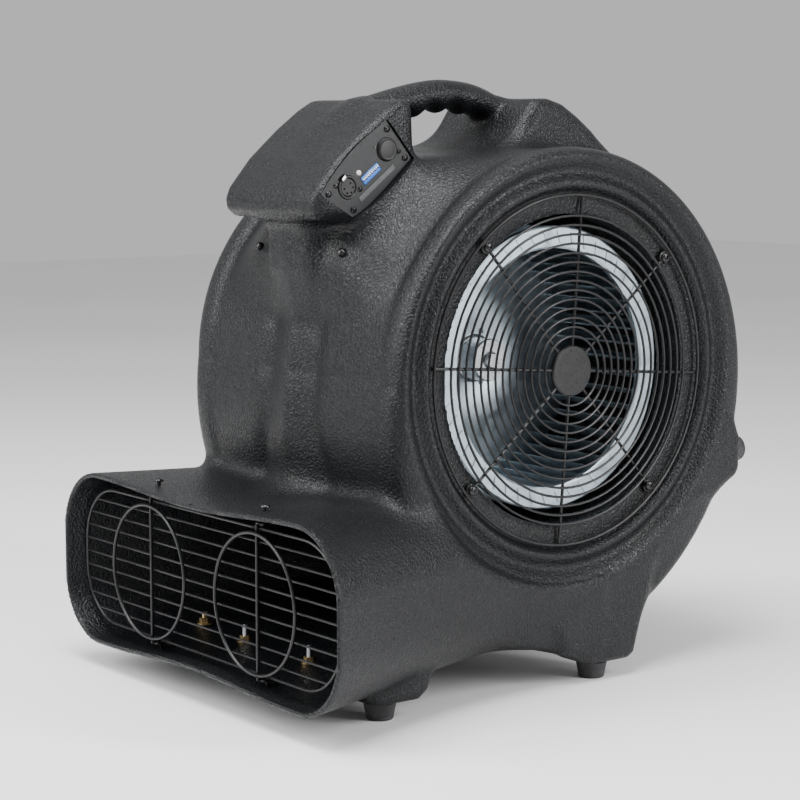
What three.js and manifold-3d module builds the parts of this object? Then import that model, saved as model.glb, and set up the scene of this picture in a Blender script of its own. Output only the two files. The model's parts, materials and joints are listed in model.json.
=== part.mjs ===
// Air mover: a moulded snail-shaped blower with a double-inlet wheel, two intake grilles,
// an outlet guard, a carrying handle and a control panel.
// Millimetres, +Z up, air leaves towards -Y, the panel faces +X.
// Origin: the middle of the footprint, on the floor.
import * as THREE from "three";
import { mergeVertices } from "three/addons/utils/BufferGeometryUtils.js";
import Module from "manifold-3d";

const wasm = await Module();
wasm.setup();

// ---------- Driving dimensions ----------
const gap = 0.3; // between pieces that touch
const wall = 5; // moulded skin

// Wheel
const wheelRadius = 135;
const wheelRingDepth = 19; // from the wheel's rim in to its open middle
const wheelHalfWidth = 136;
const bladeCount = 44;
const bladeThickness = 1.2;
const wheelPlateX = 10;
const wheelPlate = 3;

// Intakes, radii about the wheel axis, each outside the one before
const intakeClearance = 12; // round the wheel
const intakeRadius = wheelRadius + intakeClearance;
const seatRadius = intakeRadius + 23; // ledge that carries the grille
const ribRadius = seatRadius + 6;
const grooveRadius = ribRadius + 11;
const bellCrestRadius = grooveRadius + 13;
const bellX = 170; // outer face of the intake bells
const grooveX = 165;
const ribX = 169;
const seatX = 160;
const lipX = 128; // inner end of the intake lip

// Scroll casing, radii about the wheel axis
const frontRadius = bellCrestRadius + 6;
const topRadius = bellCrestRadius + 7;
const bottomRadius = bellCrestRadius + 71;
const scrollGrowth = 1.8;
const shoulderDip = 8;
const crownHeight = 28;
const scrollFloor = 32; // under the scroll's lowest point

// Wheel axis
const axisY = 41;
const axisZ = scrollFloor + bottomRadius;

// Outlet duct
const outletY = -281;
const outletHalfWidth = 237;
const outletBottom = 24;
const outletTop = 194;
const flareDepth = 24;
const flare = 8; // the rim stands out this far, each side
const ductHalfWidth = outletHalfWidth - flare;
const ductEndHalfWidth = 168;
const ductEndY = axisY;
const outletCorner = 64;
const outletWaist = 7;

// Feet
const footHeight = 16;
const footTopRadius = 15.5;
const footTipRadius = 12.5;
const footX = 147;
const frontFootY = outletY + 109;
const rearFootY = axisY + 44;
const backFootZ = axisZ - 96;
const backLegY = axisY + topRadius + 16.7;
const legHalfWidth = 22;
const boltRadius = 3;
const boltHeadRadius = 6.5;
const boltHeadHeight = 4;
const footSeat = 6; // rubber between the bolt head and the body
const boltDepth = 24;
const nutRadius = 5.5;
const nutHeight = 5;
const washerRadius = 8;
const washerHeight = 1.5;

// Handle
const handleHalfWidth = 20;
const handleHalfHeight = 15;
const fingerPitch = 31;
const fingerDepth = 3;

// Pod and panel
const podHalfWidth = 78;
const humpHalfWidth = 70;
const panelRecess = 2.5;
const panelThickness = 2;
const panelY = axisY - 173;
const panelZ = axisZ + topRadius - 17;
const panelTilt = 37.7;

// Connectors on the panel, in the panel's own plane
const socketSpacing = 55.6;
const socketRadius = 10.8;
const socketScrew = socketRadius - 1.2; // half the spacing of a socket's screws, each way
const socketScrewHole = 1.6;
const socketBore = socketRadius - 2; // behind the cap
const dipWidth = 23;
const dipHeight = 8;
const dipCentre = [0, -6.5];
const dipCount = 10;
const sliderTravel = 1.4;
const latchTravel = 2;
const latchWidth = 6;
const latchHeight = 4;
const latchLength = 5.4;
const latchY = socketRadius - 0.6;
const ledRadius = 2.4;
const ledPlace = [-10.4, 3];

// Grilles
const grilleTurn = 4.4;
const grilleWire = 2.5;
const grilleDisc = 24;
const grilleRings = 7;
const grilleOuter = intakeRadius + 18;
const grilleScrewRadius = intakeRadius + 10;
const eyelet = 5.6;
const weld = 0.6; // wires sink into each other by this much

// Outlet guard
const guardY = outletY + flareDepth;
const guardWire = 3;
const guardHalfWidth = outletHalfWidth - 18;
const guardCorner = 55;
const guardBottom = 42;
const guardTop = 178;
const guardRows = 9;
const guardRingX = 91;
const guardRingZ = 108;
const guardRingRadius = 64.5;

// Hub, shaft and motor
const hubRadius = 24;
const hubNoseRadius = 21;
const hubFlange = 8;
const hubLength = 32;
const shaftRadius = 7.5;
const motorRadius = 68;
const motorNear = -14;
const motorFar = -124;
const mountArm = 5;
const mountArmWidth = 10;
const mountDrop = 6;
const mountBand = 4;
const mountBandWidth = 26;
const capacitorRadius = 17;
const capacitorLength = 66;
const runClearance = 3; // between the wheel's end and the motor's arms

// ---------- Materials ----------
function finish(color, roughness, metalness) {
  return new THREE.MeshStandardMaterial({ color, roughness, metalness });
}
const plastic = finish(0x3c3e42, 0.6, 0);
const smoothPlastic = finish(0x2c2d30, 0.45, 0);
const blackWire = finish(0x17181a, 0.4, 0.6);
const rubber = finish(0x1c1c1e, 0.85, 0);
const zinc = finish(0xaab4bc, 0.35, 1);
const steel = finish(0x8d9499, 0.35, 1);
const blackScrew = finish(0x121314, 0.3, 0.8);
const motorPaint = finish(0x2a2c2e, 0.5, 0.3);
const blue = finish(0x1f66b5, 0.4, 0);
const white = finish(0xf0f0ea, 0.4, 0);
const lens = finish(0xdedad2, 0.25, 0);
const boardGreen = finish(0x1d5a35, 0.5, 0);

// ---------- Solids ----------
const radians = THREE.MathUtils.degToRad;

function smooth(value, low, high) {
  return THREE.MathUtils.smoothstep(value, low, high);
}

function bodyOf(geometry) {
  const bare = geometry.clone();
  bare.deleteAttribute("normal");
  bare.deleteAttribute("uv");
  const merged = mergeVertices(bare, 1e-4);
  return new wasm.Manifold(
    new wasm.Mesh({
      numProp: 3,
      vertProperties: merged.attributes.position.array,
      triVerts: new Uint32Array(merged.index.array),
    }),
  );
}

function geometryOf(body) {
  const mesh = body.getMesh();
  const geometry = new THREE.BufferGeometry();
  geometry.setAttribute("position", new THREE.BufferAttribute(mesh.vertProperties, 3));
  geometry.setIndex(new THREE.BufferAttribute(mesh.triVerts, 1));
  geometry.computeVertexNormals();
  return geometry;
}

function join(...geometries) {
  return geometries.map(bodyOf).reduce((whole, next) => whole.add(next));
}

function cut(body, ...geometries) {
  return geometries.map(bodyOf).reduce((whole, next) => whole.subtract(next), body);
}

// A skin through rings of points with a fan over each end. Each ring has the same number of points.
function loft(rings) {
  const count = rings[0].length;
  const positions = [];
  const corner = (ring, i) => rings[ring][i % count];
  const face = (a, b, c) => positions.push(...a.toArray(), ...b.toArray(), ...c.toArray());
  for (let ring = 0; ring + 1 < rings.length; ring += 1) {
    for (let i = 0; i < count; i += 1) {
      face(corner(ring, i), corner(ring, i + 1), corner(ring + 1, i));
      face(corner(ring + 1, i), corner(ring, i + 1), corner(ring + 1, i + 1));
    }
  }
  const last = rings.length - 1;
  const middle = (ring) =>
    rings[ring].reduce((sum, p) => sum.add(p), new THREE.Vector3()).divideScalar(count);
  const start = middle(0);
  const end = middle(last);
  for (let i = 0; i < count; i += 1) {
    face(start, corner(0, i + 1), corner(0, i));
    face(end, corner(last, i), corner(last, i + 1));
  }
  const geometry = new THREE.BufferGeometry();
  geometry.setAttribute("position", new THREE.Float32BufferAttribute(positions, 3));
  return geometry;
}

// A turned piece about its own Z axis; the profile's points are [radius, height].
function turned(profile, segments) {
  const points = profile.map(([radius, height]) => new THREE.Vector2(radius, height));
  return new THREE.LatheGeometry(points, segments).rotateX(Math.PI / 2);
}

function rod(radius, from, to, segments = 12) {
  return turned([[0, from], [radius, from], [radius, to], [0, to]], segments);
}

function box(width, depth, height, x = 0, y = 0, z = 0) {
  return new THREE.BoxGeometry(width, depth, height).translate(x, y, z);
}

// A flat outline given its thickness along +Z, from z = 0.
function plate(shape, depth, curveSegments = 4) {
  return new THREE.ExtrudeGeometry(shape, { depth, bevelEnabled: false, curveSegments });
}

// A Y-Z outline given its thickness along X, with rounded long edges.
function slab(outline, fromX, toX, bevel = 0) {
  const shape = new THREE.Shape(outline.map(([y, z]) => new THREE.Vector2(y, z)));
  const settings = {
    depth: toX - fromX - 2 * bevel,
    bevelEnabled: bevel > 0,
    bevelSize: bevel,
    bevelThickness: bevel,
    bevelOffset: -bevel,
    bevelSegments: 1,
  };
  const geometry = new THREE.ExtrudeGeometry(shape, settings);
  // The outline's plane becomes Y-Z and its thickness runs along X.
  geometry.applyMatrix4(
    new THREE.Matrix4().makeBasis(
      new THREE.Vector3(0, 1, 0),
      new THREE.Vector3(0, 0, 1),
      new THREE.Vector3(1, 0, 0),
    ),
  );
  return geometry.translate(fromX + bevel, 0, 0);
}

function ringShape(outer, inner) {
  const shape = new THREE.Shape().absarc(0, 0, outer, 0, Math.PI * 2);
  shape.holes.push(new THREE.Path().absarc(0, 0, inner, 0, Math.PI * 2, true));
  return shape;
}

// ---------- The assembly ----------
const part = new THREE.Group();
const rightSide = new THREE.Group(); // along +X from the wheel axis
const leftSide = new THREE.Group();
rightSide.position.set(0, axisY, axisZ);
leftSide.position.set(0, axisY, axisZ);
leftSide.rotation.z = Math.PI;
part.add(rightSide, leftSide);

function add(name, shape, material, parent = part) {
  const geometry = shape.isBufferGeometry ? shape : geometryOf(shape);
  const mesh = new THREE.Mesh(geometry, material);
  mesh.name = name;
  parent.add(mesh);
  return mesh;
}

// Turns a piece's own Z axis to point along X.
function alongX(geometry) {
  return geometry.rotateY(Math.PI / 2);
}

// ---------- Housing: the scroll ----------
// Angle 0 points to the outlet side, 90 degrees up, 180 to the back, 270 down.
function scrollRadius(angle) {
  if (angle <= 90) {
    const dip = shoulderDip * Math.exp(-(((angle - 42) / 22) ** 2));
    return frontRadius + ((topRadius - frontRadius) * angle) / 90 - dip;
  }
  if (angle <= 270) {
    return topRadius + (bottomRadius - topRadius) * ((angle - 90) / 180) ** scrollGrowth;
  }
  return bottomRadius - ((bottomRadius - frontRadius) * (angle - 270)) / 90;
}

// The skin rises under the pod and under the hump behind the handle.
function crown(angle, x) {
  const underPod = smooth(angle, 12, 34) * (1 - smooth(angle, 54, 80));
  const underHump = smooth(angle, 104, 126) * (1 - smooth(angle, 146, 172));
  return crownHeight * (underPod + 0.7 * underHump) * (1 - smooth(Math.abs(x), 60, 150));
}

function scrollPoint(angle, x, radius) {
  const turn = radians(angle);
  return new THREE.Vector3(x, axisY - radius * Math.cos(turn), axisZ + radius * Math.sin(turn));
}

function scrollRing(segments, place) {
  return Array.from({ length: segments }, (_, i) => {
    const angle = (360 * i) / segments;
    const [x, radius] = place(angle);
    return scrollPoint(angle, x, radius);
  });
}

// Where the barrel starts to round over towards the bell's crest.
function shoulderX(angle) {
  return 150 - 0.45 * (scrollRadius(angle) - frontRadius);
}

function scrollSkin(inset, segments, endRings, endX, crestRadius, steps) {
  const barrel = (angle, x) => scrollRadius(angle) + crown(angle, x) - inset;
  const shoulder = (side, turn) => (angle) => {
    const from = shoulderX(angle) - inset / 2;
    const x = from + (endX - from) * Math.cos(turn);
    return [side * x, crestRadius + (barrel(angle, x) - crestRadius) * Math.sin(turn)];
  };
  const half = (side) => [
    ...endRings.map(([x, radius]) => () => [side * x, radius]),
    ...steps.map((turn) => shoulder(side, radians(turn))),
    (angle) => [side * 90, barrel(angle, 90)],
  ];
  const across = [...half(1), (angle) => [0, barrel(angle, 0)], ...half(-1).reverse()];
  return loft(across.map((place) => scrollRing(segments, place)));
}

const bellRings = [
  [seatX, seatRadius],
  [ribX, ribRadius],
  [grooveX, grooveRadius],
  [bellX, bellCrestRadius],
];
const scrollOuter = scrollSkin(0, 36, bellRings, bellX, bellCrestRadius, [35, 65, 90]);
const scrollInner = scrollSkin(wall, 28, [], seatX - wall, bellCrestRadius - 12, [0, 45, 90]);

// ---------- Housing: the duct ----------
// One cross-section of the duct: round ends, and a waist in its top and bottom.
function ductRing(y, halfWidth, bottom, top, corner, waist) {
  const flat = halfWidth - corner;
  const stops = [-0.5, 0, 0.5];
  const arc = (cx, cz, from) =>
    Array.from({ length: 5 }, (_, i) => {
      const turn = radians(from + 22.5 * i);
      return [cx + corner * Math.cos(turn), cz + corner * Math.sin(turn)];
    });
  const sag = (share) => waist * Math.cos((share * Math.PI) / 2) ** 2;
  const outline = [
    ...arc(flat, bottom + corner, -90),
    ...arc(flat, top - corner, 0),
    ...stops.map((share) => [-share * flat, top - sag(share)]),
    ...arc(-flat, top - corner, 90),
    ...arc(-flat, bottom + corner, 180),
    ...stops.map((share) => [share * flat, bottom + sag(share)]),
  ];
  return outline.map(([x, z]) => new THREE.Vector3(x, y, z));
}

function ductWidthAt(y) {
  const share = (y - outletY - flareDepth) / (ductEndY - outletY - flareDepth);
  return ductEndHalfWidth + (ductHalfWidth - ductEndHalfWidth) * (1 - share) ** 1.6;
}

function ductBottomAt(y) {
  return outletBottom + 2 + 10 * smooth(y, outletY, ductEndY);
}

function ductSkin(inset, fromY) {
  const from = outletY + flareDepth;
  const stations = [0, 0.14, 0.33, 0.53, 0.75, 1].map((share) => from + (ductEndY - from) * share);
  const ring = (y, halfWidth, bottom) =>
    ductRing(
      y,
      halfWidth - inset,
      bottom + inset,
      outletTop - inset,
      outletCorner - inset,
      outletWaist,
    );
  const rings = [
    ring(fromY, outletHalfWidth, outletBottom),
    ...stations.map((y) => ring(y, ductWidthAt(y), ductBottomAt(y))),
  ];
  return loft(rings.reverse());
}

// The duct's flare stays clear of the bell round each intake.
function bellRelief(inset) {
  const profile = [
    [0, seatX - inset],
    [seatRadius, seatX - inset],
    ...(inset ? [] : bellRings.slice(1, 3).map(([x, radius]) => [radius, x])),
    [bellCrestRadius + 4 + inset, bellX - inset],
    [bellCrestRadius + 4 + inset, outletHalfWidth + 10],
    [0, outletHalfWidth + 10],
  ];
  return [0, Math.PI].map((side) =>
    alongX(turned(profile, 36)).rotateZ(side).translate(0, axisY, axisZ),
  );
}

// ---------- Housing: pod, hump, handle and legs ----------
// Outlines given as [back, up] from the top of the scroll, over the wheel axis.
function aboveScroll(outline) {
  return outline.map(([back, up]) => [axisY + back, axisZ + topRadius + up]);
}

const podOutline = aboveScroll([
  [-131, -110],
  [-197, -110],
  [-199, -64],
  [-219, -64],
  [-229, -58],
  [-232, -47],
  [-229, -36],
  [-205, -9],
  [-190, 4],
  [-173, 19],
  [-149, 36],
  [-125, 48],
  [-121, 42],
  [-117, -10],
  [-101, -70],
]);
const humpOutline = aboveScroll([
  [3, -15],
  [5, -1],
  [29, 35],
  [37, 46],
  [57, 49],
  [75, 44],
  [95, 31],
  [114, 17],
  [139, -7],
  [163, -40],
  [159, -80],
  [79, -70],
]);

const gripSpine = aboveScroll([
  [-169, -2],
  [-137, 26],
  [-99, 39],
  [-53, 49],
  [-23, 51],
  [11, 46],
  [43, 30],
  [63, 5],
]);

// The grip arches from the top of the pod to the hump, with finger waves underneath.
function handleGrip() {
  const spine = new THREE.CatmullRomCurve3(
    gripSpine.map(([y, z]) => new THREE.Vector3(0, y, z)),
  );
  const steps = 18;
  const sides = 8;
  const rings = Array.from({ length: steps + 1 }, (_, i) => {
    const centre = spine.getPointAt(i / steps);
    const along = spine.getTangentAt(i / steps);
    const up = new THREE.Vector3(0, -along.z, along.y);
    const back = centre.y - axisY;
    const held = smooth(back, -111, -81) * (1 - smooth(back, -11, 4));
    const wave = fingerDepth * held * Math.cos((2 * Math.PI * (back + 67)) / fingerPitch);
    return Array.from({ length: sides }, (_, k) => {
      const turn = (2 * Math.PI * k) / sides;
      const height = Math.sin(turn) * (handleHalfHeight + (Math.sin(turn) < 0 ? wave : 0));
      return centre
        .clone()
        .addScaledVector(up, height)
        .add(new THREE.Vector3(handleHalfWidth * Math.cos(turn), 0, 0));
    });
  });
  return loft(rings.reverse());
}

const legBottom = footHeight + gap;
const rearLegOutline = [
  [axisY - 21, scrollFloor + 28],
  [rearFootY - 53, scrollFloor + 1],
  [rearFootY - 23, legBottom + 2],
  [rearFootY - 19, legBottom],
  [rearFootY + 33, legBottom],
  [rearFootY + 39, legBottom + 5],
  [rearFootY + 56, scrollFloor + 48],
  [rearFootY + 65, scrollFloor + 98],
  [rearFootY + 5, scrollFloor + 88],
];
const frontBossOutline = [
  [frontFootY - 28, outletBottom + 21],
  [frontFootY - 22, legBottom + 5],
  [frontFootY - 18, legBottom],
  [frontFootY + 30, legBottom],
  [frontFootY + 40, legBottom + 8],
  [frontFootY + 46, outletBottom + 21],
];
const backLegOutline = [
  [backLegY - 59.7, backFootZ - 39],
  [backLegY - 38.7, backFootZ - 41],
  [backLegY - 5.7, backFootZ - 25],
  [backLegY - 1, backFootZ - 20],
  [backLegY, backFootZ - 17],
  [backLegY, backFootZ + 17],
  [backLegY - 6.7, backFootZ + 25],
  [backLegY - 24.7, backFootZ + 45],
  [backLegY - 42.7, backFootZ - 2],
];

function legs() {
  const pair = (outline, bevel) =>
    [-1, 1].map((side) =>
      slab(outline, side * footX - legHalfWidth, side * footX + legHalfWidth, bevel),
    );
  return [...pair(rearLegOutline, 4), ...pair(frontBossOutline, 3), ...pair(backLegOutline, 4)];
}

// ---------- Fastener places, shared by the holes and the pieces ----------
const footPlaces = [
  { name: "front_foot_right", at: [footX, frontFootY, 0], through: true },
  { name: "front_foot_left", at: [-footX, frontFootY, 0], through: true },
  { name: "rear_foot_right", at: [footX, rearFootY, 0], through: false },
  { name: "rear_foot_left", at: [-footX, rearFootY, 0], through: false },
];
const backFootPlaces = [
  { name: "back_foot_right", at: [footX, backLegY + gap + footHeight, backFootZ] },
  { name: "back_foot_left", at: [-footX, backLegY + gap + footHeight, backFootZ] },
];
const grilleScrewAngles = [45, 135, 225, 315];
const guardScrewPlaces = [
  { name: "guard_screw_top_right", x: guardRingX, up: 1 },
  { name: "guard_screw_top_left", x: -guardRingX, up: 1 },
  { name: "guard_screw_bottom_right", x: guardRingX, up: -1 },
  { name: "guard_screw_bottom_left", x: -guardRingX, up: -1 },
];
const holeRadius = boltRadius + gap + 0.2;
const smallShank = 1.8;
const smallHole = smallShank + gap + 0.1;
const screwLength = 10;
const nutSeat = ductBottomAt(frontFootY) + wall + 4; // the bosses stand 4 above the duct's floor
const blindHole = footHeight + boltDepth + 1;

function footHoles() {
  const upright = footPlaces.map(({ at, through }) =>
    rod(holeRadius, -1, through ? nutSeat + 2 * nutHeight + 2 : blindHole, 10).translate(...at),
  );
  const backward = backFootPlaces.map(({ at }) =>
    rod(holeRadius, -1, blindHole, 10).rotateX(Math.PI / 2).translate(...at),
  );
  return [...upright, ...backward];
}

function grilleHoles() {
  return [0, Math.PI].flatMap((side) =>
    grilleScrewAngles.map((angle) =>
      alongX(rod(smallHole, seatX - screwLength - 1, seatX + 4, 8))
        .translate(0, ...onCircle(grilleScrewRadius, angle - grilleTurn))
        .rotateZ(side)
        .translate(0, axisY, axisZ),
    ),
  );
}

// Y and Z of a point on a circle in the grille's plane, seen from outside.
function onCircle(radius, angle) {
  return [radius * Math.cos(radians(angle)), radius * Math.sin(radians(angle))];
}

function guardHoles() {
  return guardScrewPlaces.map(({ x, up }) => {
    const z = up > 0 ? outletTop : outletBottom;
    return rod(smallHole, -16, 10, 8)
      .rotateX(up > 0 ? 0 : Math.PI)
      .translate(x, guardY, z);
  });
}

// ---------- The panel's plane ----------
const panelPlane = new THREE.Group();
panelPlane.position.set(podHalfWidth - panelRecess, panelY, panelZ);
const panelTurn = radians(panelTilt);
const panelBasis = new THREE.Matrix4().makeBasis(
  new THREE.Vector3(0, Math.cos(panelTurn), Math.sin(panelTurn)),
  new THREE.Vector3(0, -Math.sin(panelTurn), Math.cos(panelTurn)),
  new THREE.Vector3(1, 0, 0),
);
panelPlane.quaternion.setFromRotationMatrix(panelBasis);
part.add(panelPlane);

function onPanel(geometry) {
  return geometry
    .applyMatrix4(panelBasis)
    .translate(podHalfWidth - panelRecess, panelY, panelZ);
}

const socketPlaces = { output: -socketSpacing / 2, input: socketSpacing / 2 };
const panelLeft = socketPlaces.output - 26.2;
const panelRight = socketPlaces.input + 16.2;
const panelCorners = [
  [panelLeft, socketRadius + 1.2],
  [panelRight, socketRadius + 9.2],
  [panelRight + 1, -socketRadius - 13.2],
  [panelLeft + 16, -socketRadius - 14.2],
];
const panelScrewPlaces = [
  [panelLeft + 5.5, socketRadius - 2.3],
  [panelRight - 4.5, socketRadius + 3.7],
  [panelRight - 4.5, -socketRadius - 8.2],
  [panelLeft + 18.5, -socketRadius - 9.2],
];

// The panel's outline: straight ends and foot, and a bowed top edge.
function panelShape(grow = 0) {
  const [[ax, ay], [bx, by], [cx, cy], [dx, dy]] = panelCorners;
  const shape = new THREE.Shape();
  shape.moveTo(ax - grow, ay + grow);
  shape.lineTo(dx - grow, dy - grow);
  shape.lineTo(cx + grow, cy - grow);
  shape.lineTo(bx + grow, by + grow);
  shape.quadraticCurveTo(-6, by + grow + 7, ax - grow, ay + grow);
  return shape;
}

const flangeHalfWidth = socketRadius + 0.2;
const flangeHalfHeight = socketRadius + 1.2;
const flangeThickness = 1.2;
const cavityDepth = 60;

function panelOpening() {
  const recess = onPanel(plate(panelShape(0.8), 20, 8).translate(0, 0, -panelThickness - gap));
  const width = socketSpacing + 2 * flangeHalfWidth + 2;
  const height = 2 * flangeHalfHeight + 6;
  const inner = onPanel(box(width, height, cavityDepth, 0, -2.8, -cavityDepth / 2));
  const screws = panelScrewPlaces.map(([x, y]) =>
    onPanel(rod(smallHole, -12, 1, 8).translate(x, y, 0)),
  );
  return [recess, inner, ...screws];
}

// ---------- Housing ----------
function intakeHoles() {
  return [0, Math.PI].map((side) =>
    alongX(rod(intakeRadius, lipX - 1, bellX + 10, 36))
      .rotateZ(side)
      .translate(0, axisY, axisZ),
  );
}

function intakeLips() {
  return [0, Math.PI].map((side) =>
    alongX(rod(intakeRadius + wall, lipX, bellX, 36))
      .rotateZ(side)
      .translate(0, axisY, axisZ),
  );
}

function housing() {
  const duct = cut(bodyOf(ductSkin(0, outletY)), ...bellRelief(0));
  const pod = slab(podOutline, -podHalfWidth, podHalfWidth, 6);
  const hump = slab(humpOutline, -humpHalfWidth, humpHalfWidth, 8);
  const outside = join(scrollOuter, pod, hump, handleGrip(), ...legs()).add(duct);
  const scrollSpace = cut(bodyOf(scrollInner), ...intakeLips());
  const ductSpace = cut(bodyOf(ductSkin(wall, outletY - 5)), ...bellRelief(wall));
  const hollow = outside.subtract(scrollSpace).subtract(ductSpace);
  return cut(
    hollow,
    ...intakeHoles(),
    ...footHoles(),
    ...grilleHoles(),
    ...guardHoles(),
    ...panelOpening(),
  );
}
add("housing", housing(), plastic);

// ---------- Screws ----------
// A pan-head screw: the head's underside at z = 0 and the shank along -z.
function panScrew(headRadius, headHeight, length) {
  return turned(
    [
      [0, -length],
      [smallShank, -length],
      [smallShank, 0],
      [headRadius, 0],
      [headRadius * 0.7, headHeight],
      [0, headHeight],
    ],
    8,
  );
}

// ---------- Intake grilles ----------
function grille() {
  const ringPitch = (intakeRadius - 1.5 - grilleDisc) / grilleRings;
  const half = grilleWire / 2;
  const wire = (radius) => {
    const section = [
      [radius - half, 0],
      [radius + half, 0],
      [radius, grilleWire],
      [radius - half, 0],
    ];
    return turned(section, radius < 100 ? 16 : 20).translate(0, 0, grilleWire - weld);
  };
  const radii = Array.from({ length: grilleRings }, (_, i) => grilleDisc + ringPitch * (i + 1));
  const rings = [...radii, grilleOuter].map(wire);
  const centre = rod(grilleDisc, 0, 2 * grilleWire - weld, 20);
  const spokes = [0, 90].map((turn) =>
    box(2 * grilleOuter + 2, grilleWire, grilleWire, 0, 0, half).rotateZ(radians(turn)),
  );
  const reach = grilleScrewRadius - eyelet + 1;
  const slanted = [45, 135].map((turn) =>
    box(2 * reach, grilleWire, grilleWire, 0, 0, half).rotateZ(radians(turn)),
  );
  const eyelets = grilleScrewAngles.map((turn) =>
    plate(ringShape(eyelet, smallHole), grilleWire, 5)
      .translate(grilleScrewRadius, 0, 0)
      .rotateZ(radians(turn)),
  );
  const hooks = grilleScrewAngles.map((turn) =>
    box(6, grilleWire, grilleWire, grilleOuter - 3, 0, half + 0.3).rotateZ(radians(turn)),
  );
  return join(centre, ...rings, ...spokes, ...slanted, ...eyelets, ...hooks);
}

// The grille's plane: its own X and Y become the part's Y and Z, seen from the right.
const outward = new THREE.Matrix4().makeBasis(
  new THREE.Vector3(0, 1, 0),
  new THREE.Vector3(0, 0, 1),
  new THREE.Vector3(1, 0, 0),
);
const grilleBody = grille();
const grilleGeometry = geometryOf(grilleBody).rotateZ(-radians(grilleTurn)).applyMatrix4(outward);
for (const [side, holder] of [["right", rightSide], ["left", leftSide]]) {
  const mesh = add(`intake_grille_${side}`, grilleGeometry, blackWire, holder);
  mesh.position.x = seatX + gap;
  grilleScrewAngles.forEach((angle, i) => {
    const screw = add(`grille_screw_${side}_${i + 1}`, panScrew(5, 3.6, 8), blackScrew, holder);
    const [y, z] = onCircle(grilleScrewRadius, angle - grilleTurn);
    screw.position.set(seatX + 2 * gap + grilleWire, y, z);
    screw.rotation.y = Math.PI / 2;
  });
}

// ---------- Outlet guard ----------
function roundedSlot(halfWidth, bottom, top, corner) {
  const flat = halfWidth - corner;
  const shape = new THREE.Shape();
  shape.absarc(flat, bottom + corner, corner, -Math.PI / 2, 0);
  shape.absarc(flat, top - corner, corner, 0, Math.PI / 2);
  shape.absarc(-flat, top - corner, corner, Math.PI / 2, Math.PI);
  shape.absarc(-flat, bottom + corner, corner, Math.PI, 1.5 * Math.PI);
  return shape;
}

const guardScrewBehind = 6; // the guard's screws stand this far behind its frame
const guardTabTop = outletTop - outletWaist - wall - 1;
const guardTabBottom = outletBottom + outletWaist + wall + 1;

function outletGuard() {
  const upright = (geometry) => geometry.rotateX(Math.PI / 2); // outline X-Y becomes X-Z
  const frame = roundedSlot(guardHalfWidth, guardBottom, guardTop, guardCorner);
  frame.holes.push(
    roundedSlot(
      guardHalfWidth - guardWire,
      guardBottom + guardWire,
      guardTop - guardWire,
      guardCorner - guardWire,
    ),
  );
  const pieces = [upright(plate(frame, guardWire, 3))];
  const pitch = (guardTop - guardBottom) / (guardRows + 1);
  const layer = guardWire - weld; // each layer of wires is welded to the front of the one behind
  for (let row = 1; row <= guardRows; row += 1) {
    const z = guardBottom + pitch * row;
    const fromCorner = Math.max(0, guardCorner - Math.min(z - guardBottom, guardTop - z));
    const bend = Math.sqrt(guardCorner ** 2 - fromCorner ** 2);
    const reach = guardHalfWidth - guardCorner + bend - 1;
    pieces.push(box(2 * reach, guardWire - 1, guardWire - 1, 0, -guardWire / 2, z));
  }
  for (const side of [-1, 1]) {
    const x = side * guardRingX;
    const ring = plate(ringShape(guardRingRadius + 2, guardRingRadius - 2), 4, 10);
    pieces.push(upright(ring).translate(x, -2 * layer, guardRingZ));
    const height = guardTabTop - guardTabBottom;
    const y = -guardWire / 2 - layer;
    pieces.push(box(guardWire, guardWire, height, x, y, (guardTabTop + guardTabBottom) / 2));
    for (const z of [guardTabTop - 1, guardTabBottom + 1]) {
      const tab = cut(
        bodyOf(box(12, 18, 2, x, y + 8, z)),
        rod(smallHole, -10, 10, 8).translate(x, guardScrewBehind, z),
      );
      pieces.push(geometryOf(tab));
    }
  }
  return join(...pieces);
}
const guardMesh = add("outlet_guard", outletGuard(), blackWire);
guardMesh.position.y = guardY - guardScrewBehind;

for (const { name, x, up } of guardScrewPlaces) {
  const screw = add(name, panScrew(4.5, 3, 14), blackScrew);
  screw.position.set(x, guardY, up > 0 ? outletTop + gap : outletBottom - gap);
  screw.rotation.x = up > 0 ? 0 : Math.PI;
}

// ---------- Feet and their bolts ----------
function foot() {
  const bore = boltHeadRadius + 1.5;
  return turned(
    [
      [holeRadius, footHeight],
      [holeRadius, footHeight - footSeat],
      [bore, footHeight - footSeat],
      [bore, 0],
      [footTipRadius, 0],
      [footTopRadius, footHeight],
      [holeRadius, footHeight],
    ],
    16,
  );
}

function footBolt(length, withNut) {
  const headTop = footHeight - footSeat - gap;
  const profile = [
    [0, headTop - boltHeadHeight],
    [boltHeadRadius, headTop - boltHeadHeight],
    [boltHeadRadius, headTop],
    [boltRadius, headTop],
    [boltRadius, headTop + length],
    [0, headTop + length],
  ];
  const bolt = turned(profile, 10);
  if (!withNut) return bolt;
  const nut = rod(nutRadius, nutSeat + 1, nutSeat + 1 + nutHeight, 6);
  const washer = rod(washerRadius, nutSeat, nutSeat + washerHeight, 12);
  return join(bolt, nut, washer);
}

const footGeometry = foot();
const shortBolt = footBolt(footSeat + boltDepth, false);
const longBolt = geometryOf(footBolt(footSeat + boltDepth + 8, true));
for (const { name, at, through } of footPlaces) {
  add(name, footGeometry, rubber).position.set(...at);
  const bolt = add(name.replace("foot", "foot_bolt"), through ? longBolt : shortBolt, zinc);
  bolt.position.set(...at);
}
for (const { name, at } of backFootPlaces) {
  const pieces = [
    add(name, footGeometry, rubber),
    add(name.replace("foot", "foot_bolt"), shortBolt, zinc),
  ];
  for (const piece of pieces) {
    piece.position.set(...at);
    piece.rotation.x = Math.PI / 2;
  }
}

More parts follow.
